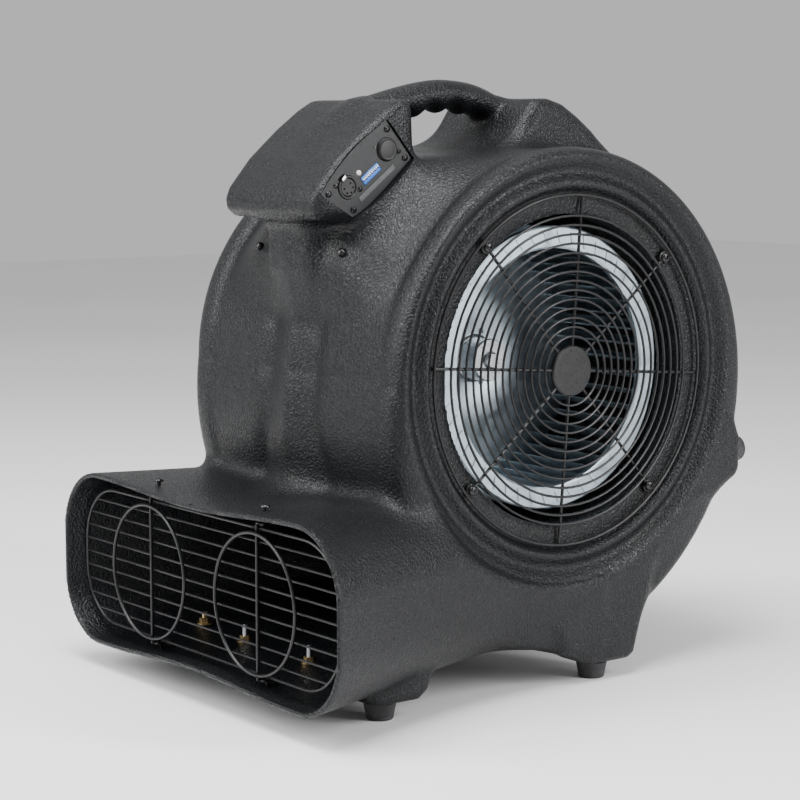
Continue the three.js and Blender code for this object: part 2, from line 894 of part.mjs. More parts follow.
// ---------- Control panel ----------
function controlPanel() {
  const sheet = bodyOf(plate(panelShape(), panelThickness, 8).translate(0, 0, -panelThickness));
  const holes = panelScrewPlaces.map(([x, y]) => rod(smallHole, -5, 5, 8).translate(x, y, 0));
  for (const x of Object.values(socketPlaces)) {
    holes.push(rod(socketRadius + gap, -5, 5, 20).translate(x, 0, 0));
    for (const side of [-1, 1]) {
      holes.push(
        rod(socketScrewHole, -5, 5, 8).translate(x + side * socketScrew, -side * socketScrew, 0),
      );
    }
  }
  holes.push(box(dipWidth + 2 * gap, dipHeight + 2 * gap, 10, ...dipCentre, 0));
  holes.push(box(latchWidth + 1, latchHeight + 1, 10, socketPlaces.output, latchY, 0));
  holes.push(rod(ledRadius + gap, -5, 5, 10).translate(...ledPlace, 0));
  return cut(sheet, ...holes);
}
add("control_panel", controlPanel(), smoothPlastic, panelPlane);

panelScrewPlaces.forEach(([x, y], i) => {
  add(`panel_screw_${i + 1}`, panScrew(3, 2, 9), blackScrew, panelPlane).position.set(x, y, gap);
});

// A chassis socket: a flange on the panel, a barrel through it and a round face.
const socketBack = -26;
const socketStand = 1.2; // the round face stands this far out of the panel

function socketBody(extraHoles) {
  const flange = new THREE.Shape();
  flange.moveTo(-flangeHalfWidth, -flangeHalfHeight);
  flange.lineTo(flangeHalfWidth, -flangeHalfHeight);
  flange.lineTo(flangeHalfWidth, flangeHalfHeight);
  flange.lineTo(-flangeHalfWidth, flangeHalfHeight);
  const behind = -panelThickness - gap - flangeThickness;
  const sheet = plate(flange, flangeThickness).translate(0, 0, behind);
  const barrel = rod(socketRadius, socketBack, socketStand, 20);
  const screwHoles = [-1, 1].map((side) =>
    rod(socketScrewHole, -5, 5, 8).translate(side * socketScrew, -side * socketScrew, 0),
  );
  return cut(join(sheet, barrel), ...screwHoles, ...extraHoles);
}

function outputSocket() {
  const contacts = [-60, -120, -180, -240, -300].map((turn) =>
    rod(1, socketStand - 8, 5, 6).translate(
      5 * Math.cos(radians(turn + 90)),
      5 * Math.sin(radians(turn + 90)) - 1,
      0,
    ),
  );
  const latchSlot = box(latchWidth + 1, latchHeight + 1, 14, 0, latchY, socketStand);
  return socketBody([...contacts, latchSlot]);
}

function inputSocket() {
  return socketBody([rod(socketBore, -18, 10, 20)]);
}

const socketScrewShape = turned(
  [[0, -5], [1.2, -5], [1.2, 0], [2.5, 0], [1.6, 1.4], [0, 1.4]],
  8,
);
const sockets = [
  ["output_socket", outputSocket(), socketPlaces.output],
  ["input_socket", inputSocket(), socketPlaces.input],
];
for (const [name, body, x] of sockets) {
  add(name, body, smoothPlastic, panelPlane).position.x = x;
  [-1, 1].forEach((side, i) => {
    const screw = add(`${name}_screw_${i + 1}`, socketScrewShape, blackScrew, panelPlane);
    screw.position.set(x + side * socketScrew, -side * socketScrew, gap);
  });
}

// The cap plugs the input socket's bore; its domed face lies flush with the barrel.
const capRadius = socketBore - gap - 0.1;
const capProfile = [[0, -12], [capRadius, -12], [capRadius, 1.5], [capRadius - 1.6, 2.2], [0, 2.4]];
const cap = add("input_socket_cap", turned(capProfile, 20), rubber, panelPlane);
cap.position.x = socketPlaces.input;

const latch = add(
  "output_socket_latch",
  box(latchWidth, latchHeight, latchLength),
  steel,
  panelPlane,
);
latch.position.set(socketPlaces.output, latchY, socketStand + latchTravel + gap - latchLength / 2);

// ---------- Address switches ----------
const sliderPitch = dipWidth / (dipCount + 0.4);
const sliderWidth = sliderPitch * 0.5;
const sliderHeight = 2;
const slotHeight = sliderHeight + sliderTravel + 0.6;
const dipRaise = 0.6;

function dipBody() {
  const block = bodyOf(box(dipWidth, dipHeight, 6, 0, 0, dipRaise - 3));
  const slots = Array.from({ length: dipCount }, (_, i) =>
    box(sliderWidth + 0.6, slotHeight, 4, sliderX(i), 0.8, dipRaise),
  );
  return cut(block, ...slots);
}

function sliderX(i) {
  return (i - (dipCount - 1) / 2) * sliderPitch;
}
add("address_switch_body", dipBody(), blue, panelPlane).position.set(...dipCentre, 0);
for (let i = 0; i < dipCount; i += 1) {
  const slider = add(
    `address_switch_slider_${i + 1}`,
    box(sliderWidth, sliderHeight, 2, 0, 0, 0),
    white,
    panelPlane,
  );
  const y = dipCentre[1] + 0.8 + sliderTravel / 2;
  slider.position.set(dipCentre[0] + sliderX(i), y, dipRaise - 0.3);
}

const led = turned(
  [[0, -5], [ledRadius, -5], [ledRadius, 0.8], [ledRadius * 0.7, 2], [0, 2.4]],
  10,
);
add("status_lamp", led, lens, panelPlane).position.set(...ledPlace, 0);
add("control_board", box(socketSpacing + 14, 26, 1.6, 0, -3, 0), boardGreen, panelPlane)
  .position.set(0, 0, socketBack - gap - 0.8);

// ---------- Wheel, hub, shaft and motor ----------
// A forward-curved blade: a thin arc from the ring's inside to its rim.
function bladeShape() {
  const inner = wheelRadius - wheelRingDepth + 1;
  const outer = wheelRadius - 1;
  const middle = (inner + outer) / 2;
  const bow = 3;
  const shape = new THREE.Shape();
  shape.moveTo(inner, 0);
  shape.lineTo(middle, -bow);
  shape.lineTo(outer, 1);
  shape.lineTo(outer, 1 + bladeThickness);
  shape.lineTo(middle, -bow + bladeThickness);
  shape.lineTo(inner, bladeThickness);
  return shape;
}

function blowerWheel() {
  const ringDepth = 8;
  const ringInner = wheelRadius - wheelRingDepth;
  const endRing = (from, to) =>
    turned(
      [
        [ringInner, from],
        [wheelRadius, from],
        [wheelRadius, to],
        [ringInner, to],
        [ringInner, from],
      ],
      48,
    );
  const centrePlate = turned(
    [
      [hubRadius - 8, wheelPlateX - wheelPlate / 2],
      [wheelRadius, wheelPlateX - wheelPlate / 2],
      [wheelRadius, wheelPlateX + wheelPlate / 2],
      [hubRadius - 8, wheelPlateX + wheelPlate / 2],
      [hubRadius - 8, wheelPlateX - wheelPlate / 2],
    ],
    48,
  );
  const length = 2 * (wheelHalfWidth - ringDepth / 2);
  const blade = plate(bladeShape(), length).translate(0, 0, -length / 2);
  const blades = Array.from({ length: bladeCount }, (_, i) =>
    blade.clone().rotateZ((2 * Math.PI * i) / bladeCount),
  );
  const farRing = endRing(-wheelHalfWidth, -wheelHalfWidth + ringDepth);
  const nearRing = endRing(wheelHalfWidth - ringDepth, wheelHalfWidth);
  return join(centrePlate, farRing, nearRing, ...blades);
}
const wheelAxis = new THREE.Group(); // its own Z runs along the axle, to the right
wheelAxis.position.set(0, axisY, axisZ);
wheelAxis.rotation.y = Math.PI / 2;
part.add(wheelAxis);
add("blower_wheel", blowerWheel(), zinc, wheelAxis);

const hubBack = wheelPlateX + wheelPlate / 2 + gap;
const hub = cut(
  bodyOf(
    turned(
      [
        [0, hubBack],
        [hubRadius, hubBack],
        [hubRadius, hubBack + hubFlange],
        [hubNoseRadius, hubBack + hubFlange + 2],
        [hubNoseRadius, hubBack + hubLength],
        [0, hubBack + hubLength],
      ],
      20,
    ),
  ),
  rod(shaftRadius + gap, -20, hubBack + 60, 12),
);
add("wheel_hub", hub, steel, wheelAxis);

const shaft = rod(shaftRadius, motorNear - 6, hubBack + hubLength + 4);
add("motor_shaft", shaft, steel, wheelAxis);

const motor = cut(
  bodyOf(
    turned(
      [
        [0, motorFar],
        [40, motorFar],
        [motorRadius - 6, motorFar + 12],
        [motorRadius, motorFar + 18],
        [motorRadius, motorNear - 18],
        [motorRadius - 6, motorNear - 12],
        [30, motorNear],
        [0, motorNear],
      ],
      24,
    ),
  ),
  rod(shaftRadius + 0.6, motorNear - 8, motorNear + 5, 12),
);
add("motor", motor, motorPaint, wheelAxis);

// Three arms carry a band round the motor and stand on the left intake's seat.
function motorMount() {
  const bandOuter = motorRadius + gap + mountBand;
  const bandFrom = motorFar + 22;
  const band = turned(
    [
      [motorRadius + gap, bandFrom],
      [bandOuter, bandFrom],
      [bandOuter, bandFrom + mountBandWidth],
      [motorRadius + gap, bandFrom + mountBandWidth],
      [motorRadius + gap, bandFrom],
    ],
    24,
  );
  const out = -(wheelHalfWidth + runClearance + mountArm / 2);
  const arms = [60, 180, 300].flatMap((turn) => {
    const reach = intakeRadius - 1.2 - bandOuter + 2;
    const across = box(reach, mountArmWidth, mountArm, bandOuter - 2 + reach / 2, 0, out);
    const top = bandFrom + 20;
    const height = top - out;
    const drop = box(mountDrop, mountArmWidth, height, bandOuter + 1, 0, (top + out) / 2);
    return [across, drop].map((piece) => piece.rotateZ(radians(turn)));
  });
  return join(band, ...arms);
}
add("motor_mount", motorMount(), steel, wheelAxis);

const capacitor = add(
  "run_capacitor",
  rod(capacitorRadius, motorFar, motorFar + capacitorLength, 14),
  smoothPlastic,
  wheelAxis,
);
capacitor.position.x = motorRadius + gap + mountBand + gap + capacitorRadius;

export default part;
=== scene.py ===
"""Looks for the air mover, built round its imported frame.

Sizes are in millimetres until a mesh is made; `MM` turns them into the frame's metres.
"""
import json
import math

import bpy
import numpy as np
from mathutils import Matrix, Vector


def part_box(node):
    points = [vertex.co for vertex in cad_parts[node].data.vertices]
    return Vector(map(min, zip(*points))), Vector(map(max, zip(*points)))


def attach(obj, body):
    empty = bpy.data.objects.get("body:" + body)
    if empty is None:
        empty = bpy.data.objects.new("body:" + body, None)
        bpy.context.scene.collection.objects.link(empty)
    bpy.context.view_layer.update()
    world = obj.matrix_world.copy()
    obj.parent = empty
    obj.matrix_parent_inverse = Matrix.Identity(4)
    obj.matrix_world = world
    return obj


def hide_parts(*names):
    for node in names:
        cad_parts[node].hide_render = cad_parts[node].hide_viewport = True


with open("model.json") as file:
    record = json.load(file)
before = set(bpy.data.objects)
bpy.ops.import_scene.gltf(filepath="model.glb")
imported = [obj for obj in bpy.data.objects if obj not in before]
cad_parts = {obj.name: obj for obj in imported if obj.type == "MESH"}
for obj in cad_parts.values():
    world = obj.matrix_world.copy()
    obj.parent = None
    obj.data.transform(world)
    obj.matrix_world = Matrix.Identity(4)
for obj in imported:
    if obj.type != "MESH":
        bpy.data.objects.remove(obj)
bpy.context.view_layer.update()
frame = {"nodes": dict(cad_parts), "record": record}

import openvdb
from mathutils import Matrix, Vector

MM = 0.001


# ---------- Places taken from the frame, in millimetres ----------
def moved(x, y, z):
    return Matrix.Translation((x, y, z))


def rotated(turn, axis="Z"):
    return Matrix.Rotation(turn, 4, axis)


def span(node):
    """The lowest and highest corner of a CAD node."""
    low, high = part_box(node)
    return Vector(low) / MM, Vector(high) / MM


def middle(node):
    low, high = span(node)
    return (low + high) / 2


WHEEL_JOINT = next(j for j in frame["record"]["behaviour"]["joints"] if j["name"] == "wheel_spin")
AXIS_Y = WHEEL_JOINT["pos_m"][1] / MM
AXIS_Z = WHEEL_JOINT["pos_m"][2] / MM
OUTLET_Y = span("housing")[0].y
OUTLET_HALF_WIDTH = span("housing")[1].x
FOOT_X = middle("front_foot_right").x
FOOT_HEIGHT = span("front_foot_right")[1].z
BACK_LEG_Y = span("back_foot_right")[0].y - 0.3

# The panel's plane: u runs from the output socket to the input socket, v away from the duct.
OUTPUT = middle("output_socket")
INPUT = middle("input_socket")
PANEL_X = span("control_panel")[1].x
PANEL_U = Vector((0, INPUT.y - OUTPUT.y, INPUT.z - OUTPUT.z)).normalized()
PANEL_V = Vector((0, -PANEL_U.z, PANEL_U.y))
PANEL_CENTRE = Vector((PANEL_X, (OUTPUT.y + INPUT.y) / 2, (OUTPUT.z + INPUT.z) / 2))


def on_panel(u, v, out=0.0):
    """A matrix whose Z axis points out of the panel at (u, v)."""
    place = PANEL_CENTRE + PANEL_U * u + PANEL_V * v + Vector((out, 0, 0))
    turn = Matrix((PANEL_U, PANEL_V, Vector((1, 0, 0)))).transposed()
    return Matrix.Translation(place) @ turn.to_4x4()


def panel_place(node, out=0.0):
    """The panel matrix at a CAD node's middle."""
    off = middle(node) - PANEL_CENTRE
    return on_panel(off.dot(PANEL_U), off.dot(PANEL_V), out)


def about_axle(side=1):
    """Z runs along the axle towards the right side, or the left one; X points up."""
    turn = Matrix(((0, 0, side), (0, -side, 0), (1, 0, 0))).to_4x4()
    return moved(0, AXIS_Y, AXIS_Z) @ turn


# ---------- Shapes ----------
class Shape:
    """Points and faces of one piece, in millimetres."""

    def __init__(self):
        self.points = []
        self.faces = []

    def add(self, points, faces, place=None):
        first = len(self.points)
        place = place or Matrix.Identity(4)
        self.points += [place @ Vector(p) for p in points]
        flipped = place.determinant() < 0
        for face in faces:
            corners = [first + i for i in face]
            self.faces.append(corners[::-1] if flipped else corners)
        return self

    def lathe(self, profile, place=None, segments=48):
        """A closed turned body about Z. The profile's [radius, height] points run upwards outside."""
        points, rings = [], []
        for radius, height in profile:
            if radius == 0:
                rings.append([len(points)] * segments)
                points.append((0, 0, height))
                continue
            rings.append(range(len(points), len(points) + segments))
            for i in range(segments):
                turn = math.tau * i / segments
                points.append((radius * math.cos(turn), radius * math.sin(turn), height))
        if profile[0][0] > 0:
            rings.append(rings[0])
        faces = []
        for low, high in zip(rings, rings[1:]):
            for i in range(segments):
                j = (i + 1) % segments
                corners = [low[i], low[j], high[j], high[i]]
                face = [c for n, c in enumerate(corners) if c not in corners[:n]]
                if len(face) > 2:
                    faces.append(face)
        return self.add(points, faces, place)

    def tube(self, path, radius, place=None, sides=10, closed=False):
        """A round wire along a path."""
        path = [Vector(p) for p in path]
        count = len(path)
        along = []
        for i in range(count):
            before = path[i - 1] if closed or i else path[0]
            after = path[(i + 1) % count] if closed or i + 1 < count else path[-1]
            along.append((after - before).normalized())
        across = along[0].orthogonal().normalized()
        points = []
        for centre, way in zip(path, along):
            across = (across - way * across.dot(way)).normalized()
            up = way.cross(across)
            for k in range(sides):
                turn = math.tau * k / sides
                points.append(centre + radius * (across * math.cos(turn) + up * math.sin(turn)))
        faces = []
        for i in range(count if closed else count - 1):
            j = (i + 1) % count
            for k in range(sides):
                n = (k + 1) % sides
                faces.append((i * sides + k, i * sides + n, j * sides + n, j * sides + k))
        if not closed:
            faces.append(tuple(range(sides))[::-1])
            faces.append(tuple((count - 1) * sides + k for k in range(sides)))
        return self.add(points, faces, place)

    def ring(self, radius, wire, place=None, height=0.0, segments=72, sides=10):
        path = [(x, y, height) for x, y in circle(radius, segments)]
        return self.tube(path, wire, place, sides, closed=True)

    def prism(self, outline, low, high, place=None):
        """An anticlockwise flat outline, thick from low to high along Z."""
        count = len(outline)
        points = [(x, y, low) for x, y in outline] + [(x, y, high) for x, y in outline]
        faces = [tuple(range(count))[::-1], tuple(range(count, 2 * count))]
        faces += [(i, (i + 1) % count, count + (i + 1) % count, count + i) for i in range(count)]
        return self.add(points, faces, place)

    def block(self, size, place=None, corner=0.0):
        """A box centred on its place, its four upright edges rounded."""
        return self.prism(rounded(size[0], size[1], corner), -size[2] / 2, size[2] / 2, place)


def rounded(width, height, corner, steps=5):
    """A rectangle's outline with round corners."""
    if corner <= 0:
        a, b = width / 2, height / 2
        return [(-a, -b), (a, -b), (a, b), (-a, b)]
    points = []
    for quarter, (sx, sy) in enumerate(((1, -1), (1, 1), (-1, 1), (-1, -1))):
        for k in range(steps + 1):
            turn = math.pi / 2 * (quarter - 1 + k / steps)
            points.append((sx * (width / 2 - corner) + corner * math.cos(turn),
                           sy * (height / 2 - corner) + corner * math.sin(turn)))
    return points


def circle(radius, segments=32, x=0.0, y=0.0):
    return [(x + radius * math.cos(math.tau * i / segments),
             y + radius * math.sin(math.tau * i / segments)) for i in range(segments)]


def curve_through(points, count):
    """A Catmull-Rom curve through points, count steps between each pair."""
    p = np.array([points[0], *points, points[-1]], float)
    made = []
    for a, b, c, d in zip(p, p[1:], p[2:], p[3:]):
        t = np.linspace(0, 1, count, endpoint=False)[:, None]
        bend = 2 * a - 5 * b + 4 * c - d
        twist = 3 * b - a - 3 * c + d
        made.append(0.5 * (2 * b + (c - a) * t + bend * t**2 + twist * t**3))
    return np.vstack([*made, p[-2:-1]])


# ---------- Pieces ----------
def placed(name, data):
    obj = bpy.data.objects.new(name, data)
    bpy.context.scene.collection.objects.link(obj)
    return obj


def bare(name, shape):
    """A shape as an object in metres, with no material."""
    mesh = bpy.data.meshes.new(name)
    mesh.from_pydata([tuple(p * MM) for p in shape.points], [], shape.faces)
    return placed(name, mesh)


def piece(name, shape, material, replaced=(), body="casing", bevel=0.0, sharp=35):
    """Turns a shape into an object that rides on a body and stands for CAD nodes."""
    obj = bare(name, shape)
    if bevel:
        soften(obj, bevel)
    finish_piece(obj, material, replaced, body, sharp)
    return obj


def dress(obj, material, sharp=35):
    """Gives the whole mesh one material and smooth shading between its sharp edges."""
    obj.data.materials.clear()
    obj.data.materials.append(material)
    obj.data.polygons.foreach_set("use_smooth", [True] * len(obj.data.polygons))
    obj.data.set_sharp_from_angle(angle=math.radians(sharp))


def finish_piece(obj, material, replaced=(), body="casing", sharp=35):
    """Shades an object with its one material, puts it on its body and hides the CAD nodes it stands
    for.
    """
    dress(obj, material, sharp)
    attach(obj, body)
    if replaced:
        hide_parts(*replaced)


def settle(obj):
    """Applies an object's modifiers to its mesh."""
    bpy.context.view_layer.update()
    graph = bpy.context.evaluated_depsgraph_get()
    mesh = bpy.data.meshes.new_from_object(obj.evaluated_get(graph))
    obj.modifiers.clear()
    obj.data = mesh


def soften(obj, width):
    """Rounds the sharp edges."""
    bevel = obj.modifiers.new("edges", "BEVEL")
    bevel.width = width * MM
    bevel.segments = 2
    bevel.limit_method = "ANGLE"
    bevel.angle_limit = math.radians(40)
    settle(obj)


def carve(obj, cutter, solver="EXACT"):
    """Cuts a shape out of an object."""
    tool = bare("cutter", cutter)
    cut = obj.modifiers.new("cut", "BOOLEAN")
    cut.operation = "DIFFERENCE"
    cut.solver = solver
    cut.object = tool
    settle(obj)
    bpy.data.objects.remove(tool)


def cut_out(obj, material, *cutters):
    """Cuts shapes out of a piece one after another, and shades what is left."""
    for cutter in cutters:
        carve(obj, cutter)
    dress(obj, material)


# ---------- Materials ----------
class Finish:
    """A material with one Principled shader and the object's own coordinates in metres."""

    def __init__(self, name, colour, roughness, metallic=0.0, coat=0.0, specular=0.5):
        self.material = bpy.data.materials.new(name)
        self.material.use_nodes = True
        self.tree = self.material.node_tree
        self.shader = self.tree.nodes["Principled BSDF"]
        self.shader.inputs["Base Color"].default_value = (*colour, 1)
        self.shader.inputs["Roughness"].default_value = roughness
        self.shader.inputs["Metallic"].default_value = metallic
        self.shader.inputs["Coat Weight"].default_value = coat
        self.shader.inputs["Specular IOR Level"].default_value = specular
        self.where = self.tree.nodes.new("ShaderNodeTexCoord").outputs["Object"]

    def link(self, a, b):
        self.tree.links.new(a, b)

    def noise(self, size, detail=3.0, stretch=None):
        """Noise whose features are about size millimetres across."""
        node = self.tree.nodes.new("ShaderNodeTexNoise")
        node.inputs["Scale"].default_value = 1 / (size * MM)
        node.inputs["Detail"].default_value = detail
        self.link(self.stretched(stretch), node.inputs["Vector"])
        return node.outputs["Fac"]

    def cells(self, size, feature="F1", output="Distance"):
        """Cells about size millimetres across."""
        node = self.tree.nodes.new("ShaderNodeTexVoronoi")
        node.feature = feature
        node.inputs["Scale"].default_value = 1 / (size * MM)
        self.link(self.where, node.inputs["Vector"])
        return node.outputs[output]

    def stretched(self, scale):
        if scale is None:
            return self.where
        node = self.tree.nodes.new("ShaderNodeMapping")
        node.inputs["Scale"].default_value = scale
        self.link(self.where, node.inputs["Vector"])
        return node.outputs["Vector"]

    def ramp(self, value, low, high, at=(0.35, 0.65)):
        """Colours from low to high as the value goes between the two places."""
        node = self.tree.nodes.new("ShaderNodeValToRGB")
        node.color_ramp.elements[0].position = at[0]
        node.color_ramp.elements[1].position = at[1]
        node.color_ramp.elements[0].color = (*low, 1)
        node.color_ramp.elements[1].color = (*high, 1)
        self.link(value, node.inputs["Fac"])
        return node.outputs["Color"]

    def spread(self, value, low, high, at=(0.3, 0.7)):
        """The value, moved from the range at into low to high."""
        node = self.tree.nodes.new("ShaderNodeMapRange")
        for name, number in zip(("From Min", "From Max", "To Min", "To Max"), (*at, low, high)):
            node.inputs[name].default_value = number
        self.link(value, node.inputs["Value"])
        return node.outputs["Result"]

    def mix(self, factor, a, b):
        node = self.tree.nodes.new("ShaderNodeMix")
        node.data_type = "RGBA"
        self.link(factor, node.inputs["Factor"])
        for value, socket in ((a, node.inputs[6]), (b, node.inputs[7])):
            if isinstance(value, tuple):
                socket.default_value = (*value, 1)
            else:
                self.link(value, socket)
        return node.outputs[2]

    def colour(self, value):
        self.link(value, self.shader.inputs["Base Color"])

    def roughness(self, value):
        self.link(value, self.shader.inputs["Roughness"])

    def bump(self, value, depth, strength=1.0, under=None):
        """Raises the surface by depth millimetres where the value is 1."""
        node = self.tree.nodes.new("ShaderNodeBump")
        node.inputs["Distance"].default_value = depth * MM
        node.inputs["Strength"].default_value = strength
        self.link(value, node.inputs["Height"])
        if under:
            self.link(under, node.inputs["Normal"])
        self.link(node.outputs["Normal"], self.shader.inputs["Normal"])
        return node.outputs["Normal"]


def pebble_plastic():
    """Rotomoulded charcoal plastic with a coarse pebble grain and dull, uneven gloss."""
    f = Finish("pebble_plastic", (0.006, 0.0065, 0.0075), 0.45, specular=0.24)
    cloud = f.noise(90, 4)
    fine = f.noise(1.6, 2)
    tone = f.ramp(cloud, (0.0035, 0.0038, 0.0045), (0.0065, 0.007, 0.0082))
    f.colour(f.mix(f.spread(fine, 0, 0.35), tone, (0.012, 0.013, 0.015)))
    f.roughness(f.spread(f.noise(2.6, 3), 0.22, 0.46))
    pebbles = f.spread(f.noise(2.3, 1), 0, 1, (0.38, 0.62))
    first = f.bump(pebbles, 0.5, 0.85)
    f.bump(fine, 0.2, 0.5, first)
    return f.material


def mottled(name, base, roughness, tones, gloss, bump=None, **shader):
    """A material whose colour, gloss and relief each follow their own noise.

    Each of the three is (size in millimetres, detail, ...): tones ends with two colours, gloss
    with two roughnesses, bump with its depth in millimetres and its strength.
    """
    f = Finish(name, base, roughness, **shader)
    f.colour(f.ramp(f.noise(*tones[:2]), *tones[2:]))
    f.roughness(f.spread(f.noise(*gloss[:2]), *gloss[2:]))
    if bump:
        f.bump(f.noise(*bump[:2]), *bump[2:])
    return f.material


def times(colour, factor):
    return tuple(min(1, c * factor) for c in colour)


def smooth_plastic(name, colour, grain=0.5):
    """Injection-moulded plastic with a fine spark-eroded grain."""
    return mottled(name, colour, 0.42, (14, 4, colour, times(colour, 1.35)),
                   (grain * 2, 2, 0.34, 0.5), (grain, 2, 0.05, 0.6), specular=0.3)


def satin_wire():
    """Black powder coat with a slight orange peel."""
    return mottled("satin_wire", (0.005, 0.005, 0.006), 0.3,
                   (8, 3, (0.004, 0.004, 0.005), (0.008, 0.008, 0.009)),
                   (3, 2, 0.26, 0.42), (1.2, 1, 0.06, 0.5), specular=0.35)


def black_screw():
    return mottled("black_screw", (0.02, 0.02, 0.021), 0.25,
                   (4, 3, (0.015, 0.015, 0.016), (0.05, 0.05, 0.052)), (2, 3, 0.16, 0.36),
                   metallic=0.8)


def foot_rubber():
    return mottled("foot_rubber", (0.018, 0.018, 0.020), 0.75,
                   (6, 4, (0.014, 0.014, 0.016), (0.030, 0.030, 0.032)),
                   (2, 2, 0.62, 0.85), (0.8, 2, 0.05, 0.5))


def galvanised():
    """Hot-dip zinc: large pale spangles, each with its own tone and gloss."""
    f = Finish("galvanised_sheet", (0.46, 0.53, 0.58), 0.45, metallic=1.0)
    spangle = f.cells(9, output="Color")
    grey = f.tree.nodes.new("ShaderNodeRGBToBW")
    f.link(spangle, grey.inputs["Color"])
    tone = grey.outputs["Val"]
    f.colour(f.ramp(tone, (0.41, 0.48, 0.53), (0.50, 0.57, 0.62), (0.2, 0.8)))
    f.roughness(f.spread(tone, 0.40, 0.50, (0.2, 0.8)))
    f.bump(f.noise(5, 3), 0.02, 0.3)
    return f.material


def turned_metal(name, colour, roughness=0.28):
    """Machined or plated metal with faint turning marks."""
    f = Finish(name, colour, roughness, metallic=1.0)
    f.colour(f.ramp(f.noise(5, 4), times(colour, 0.78), colour))
    f.roughness(f.spread(f.noise(1.5, 3), roughness * 0.8, roughness * 1.4))
    f.bump(f.noise(0.6, 2, (4, 1, 1)), 0.02, 0.4)
    return f.material


def enamel(name, colour):
    """Sprayed paint on a pressed shell."""
    return mottled(name, colour, 0.4, (30, 4, colour, times(colour, 1.5)), (4, 3, 0.32, 0.5),
                   (1.6, 2, 0.06, 0.5))


def gloss_plastic(name, colour, roughness=0.25):
    return mottled(name, colour, roughness, (3, 3, colour, times(colour, 1.15)),
                   (1, 2, roughness * 0.8, roughness * 1.3), coat=0.2)


def lamp_lens():
    """Milky clear dome over an unlit diode."""
    f = Finish("lamp_lens", (0.78, 0.76, 0.73), 0.12, coat=0.6)
    f.shader.inputs["Subsurface Weight"].default_value = 0.3
    f.shader.inputs["Subsurface Radius"].default_value = (0.002, 0.002, 0.002)
    f.colour(f.ramp(f.noise(2, 2), (0.68, 0.66, 0.63), (0.85, 0.83, 0.80)))
    return f.material


def circuit_board():
    f = Finish("circuit_board", (0.01, 0.09, 0.035), 0.35)
    tracks = f.cells(2.2, "DISTANCE_TO_EDGE")
    f.colour(f.ramp(tracks, (0.02, 0.14, 0.06), (0.008, 0.07, 0.03), (0.05, 0.12)))
    return f.material


def printed_label():
    """A blank dark grey strip, slightly worn."""
    return mottled("printed_label", (0.13, 0.14, 0.15), 0.4,
                   (2.5, 4, (0.028, 0.030, 0.033), (0.048, 0.050, 0.055)), (3, 2, 0.3, 0.5))


PEBBLE = pebble_plastic()
PANEL = smooth_plastic("panel_plastic", (0.007, 0.0075, 0.0085))
SOCKET = smooth_plastic("socket_plastic", (0.006, 0.006, 0.007), 0.3)
SOCKET_FACE = smooth_plastic("socket_face", (0.009, 0.009, 0.010), 0.3)
WIRE = satin_wire()
SCREW = black_screw()
RUBBER = foot_rubber()
ZINC = galvanised()
STEEL = turned_metal("bright_steel", (0.62, 0.64, 0.66))
SILVER = turned_metal("nickel_plate", (0.80, 0.79, 0.76), 0.2)
BRASS = turned_metal("yellow_zinc", (0.62, 0.47, 0.24), 0.3)
MOTOR = enamel("motor_paint", (0.022, 0.023, 0.025))
BLUE = gloss_plastic("switch_blue", (0.010, 0.115, 0.46), 0.3)
WHITE = gloss_plastic("switch_white", (0.80, 0.80, 0.77), 0.3)
LENS = lamp_lens()
BOARD = circuit_board()
LABEL = printed_label()


# ---------- Housing: a signed distance, in millimetres, negative inside the plastic ----------
WALL = 5
VOXEL = 2.5
BELL_X = 170  # how far out the roll round each intake stands
CREST = 200  # that roll's radius about the axle
GROOVE_X = 162
LEDGE_X = 157.5
RIB_X = 168.5
ROLL_START_X = 150
INTAKE_RADIUS = 147
LIP_X = 128
FRONT_RADIUS = 206
TOP_RADIUS = 207
BOTTOM_RADIUS = 271
SCROLL_GROWTH = 1.8
SHOULDER_DIP = 8
CROWN = 28
RIDGE = 6
VALLEY = 3.5
DUCT_TOP = 194
DUCT_END_Y = 41
DUCT_BOTTOM = 24
DUCT_RISE = 12
DUCT_CORNER = 64
DUCT_WAIST = 7
DUCT_HALF_WIDTH = 229
DUCT_END_HALF_WIDTH = 168
FLARE = 8
FLARE_DEPTH = 24
POD_HALF_WIDTH = 78
NECK_HALF_WIDTH = 34
HUMP_HALF_WIDTH = 70
LEG_HALF_WIDTH = 22
GRIP_HALF_WIDTH = 20
GRIP_HALF_HEIGHT = 14.7
FINGER_PITCH = 31
FINGER_DEPTH = 3
FOOT_SEAT = 16.3
GRID_TOP_Z = 585
FACES_KEPT = 0.26  # the share of the housing's faces that thinning leaves
PANEL_RECESS = 2.6
PANEL_GAP = 0.9
NOTCH = (7, 12, 7)  # the parting seam's mark on the rim
CAVITY = (80, 30, 60)  # the room behind the panel

# Side outlines as (y, z)
POD = [(-90, 444), (-120, 446), (-182, 446), (-190, 453), (-191.5, 463), (-187, 474),
       (-164, 501), (-149, 514), (-132, 528.5), (-108, 546), (-92, 555), (-82, 556), (-78, 545),
       (-76, 500), (-60, 440)]
NECK = [(-80, 380), (-152, 372), (-166, 400), (-172, 454), (-80, 470)]
HUMP = [(40, 480), (46, 510), (58, 530), (71, 549), (80, 557), (98, 558), (116, 553), (136, 541),
        (155, 527), (180, 503), (206, 468), (200, 430), (120, 440)]
GRIP = [(-128, 508), (-96, 536), (-58, 549), (-12, 559), (18, 561), (52, 556), (84, 540), (104, 515)]
REAR_LEG = [(20, 60), (32, 33), (60, 19), (68, FOOT_SEAT), (116, FOOT_SEAT), (124, 21), (141, 80),
            (150, 122), (90, 110)]
FRONT_BOSS = [(-204, 48), (-196, 24), (-190, FOOT_SEAT), (-142, FOOT_SEAT), (-132, 24), (-124, 48)]
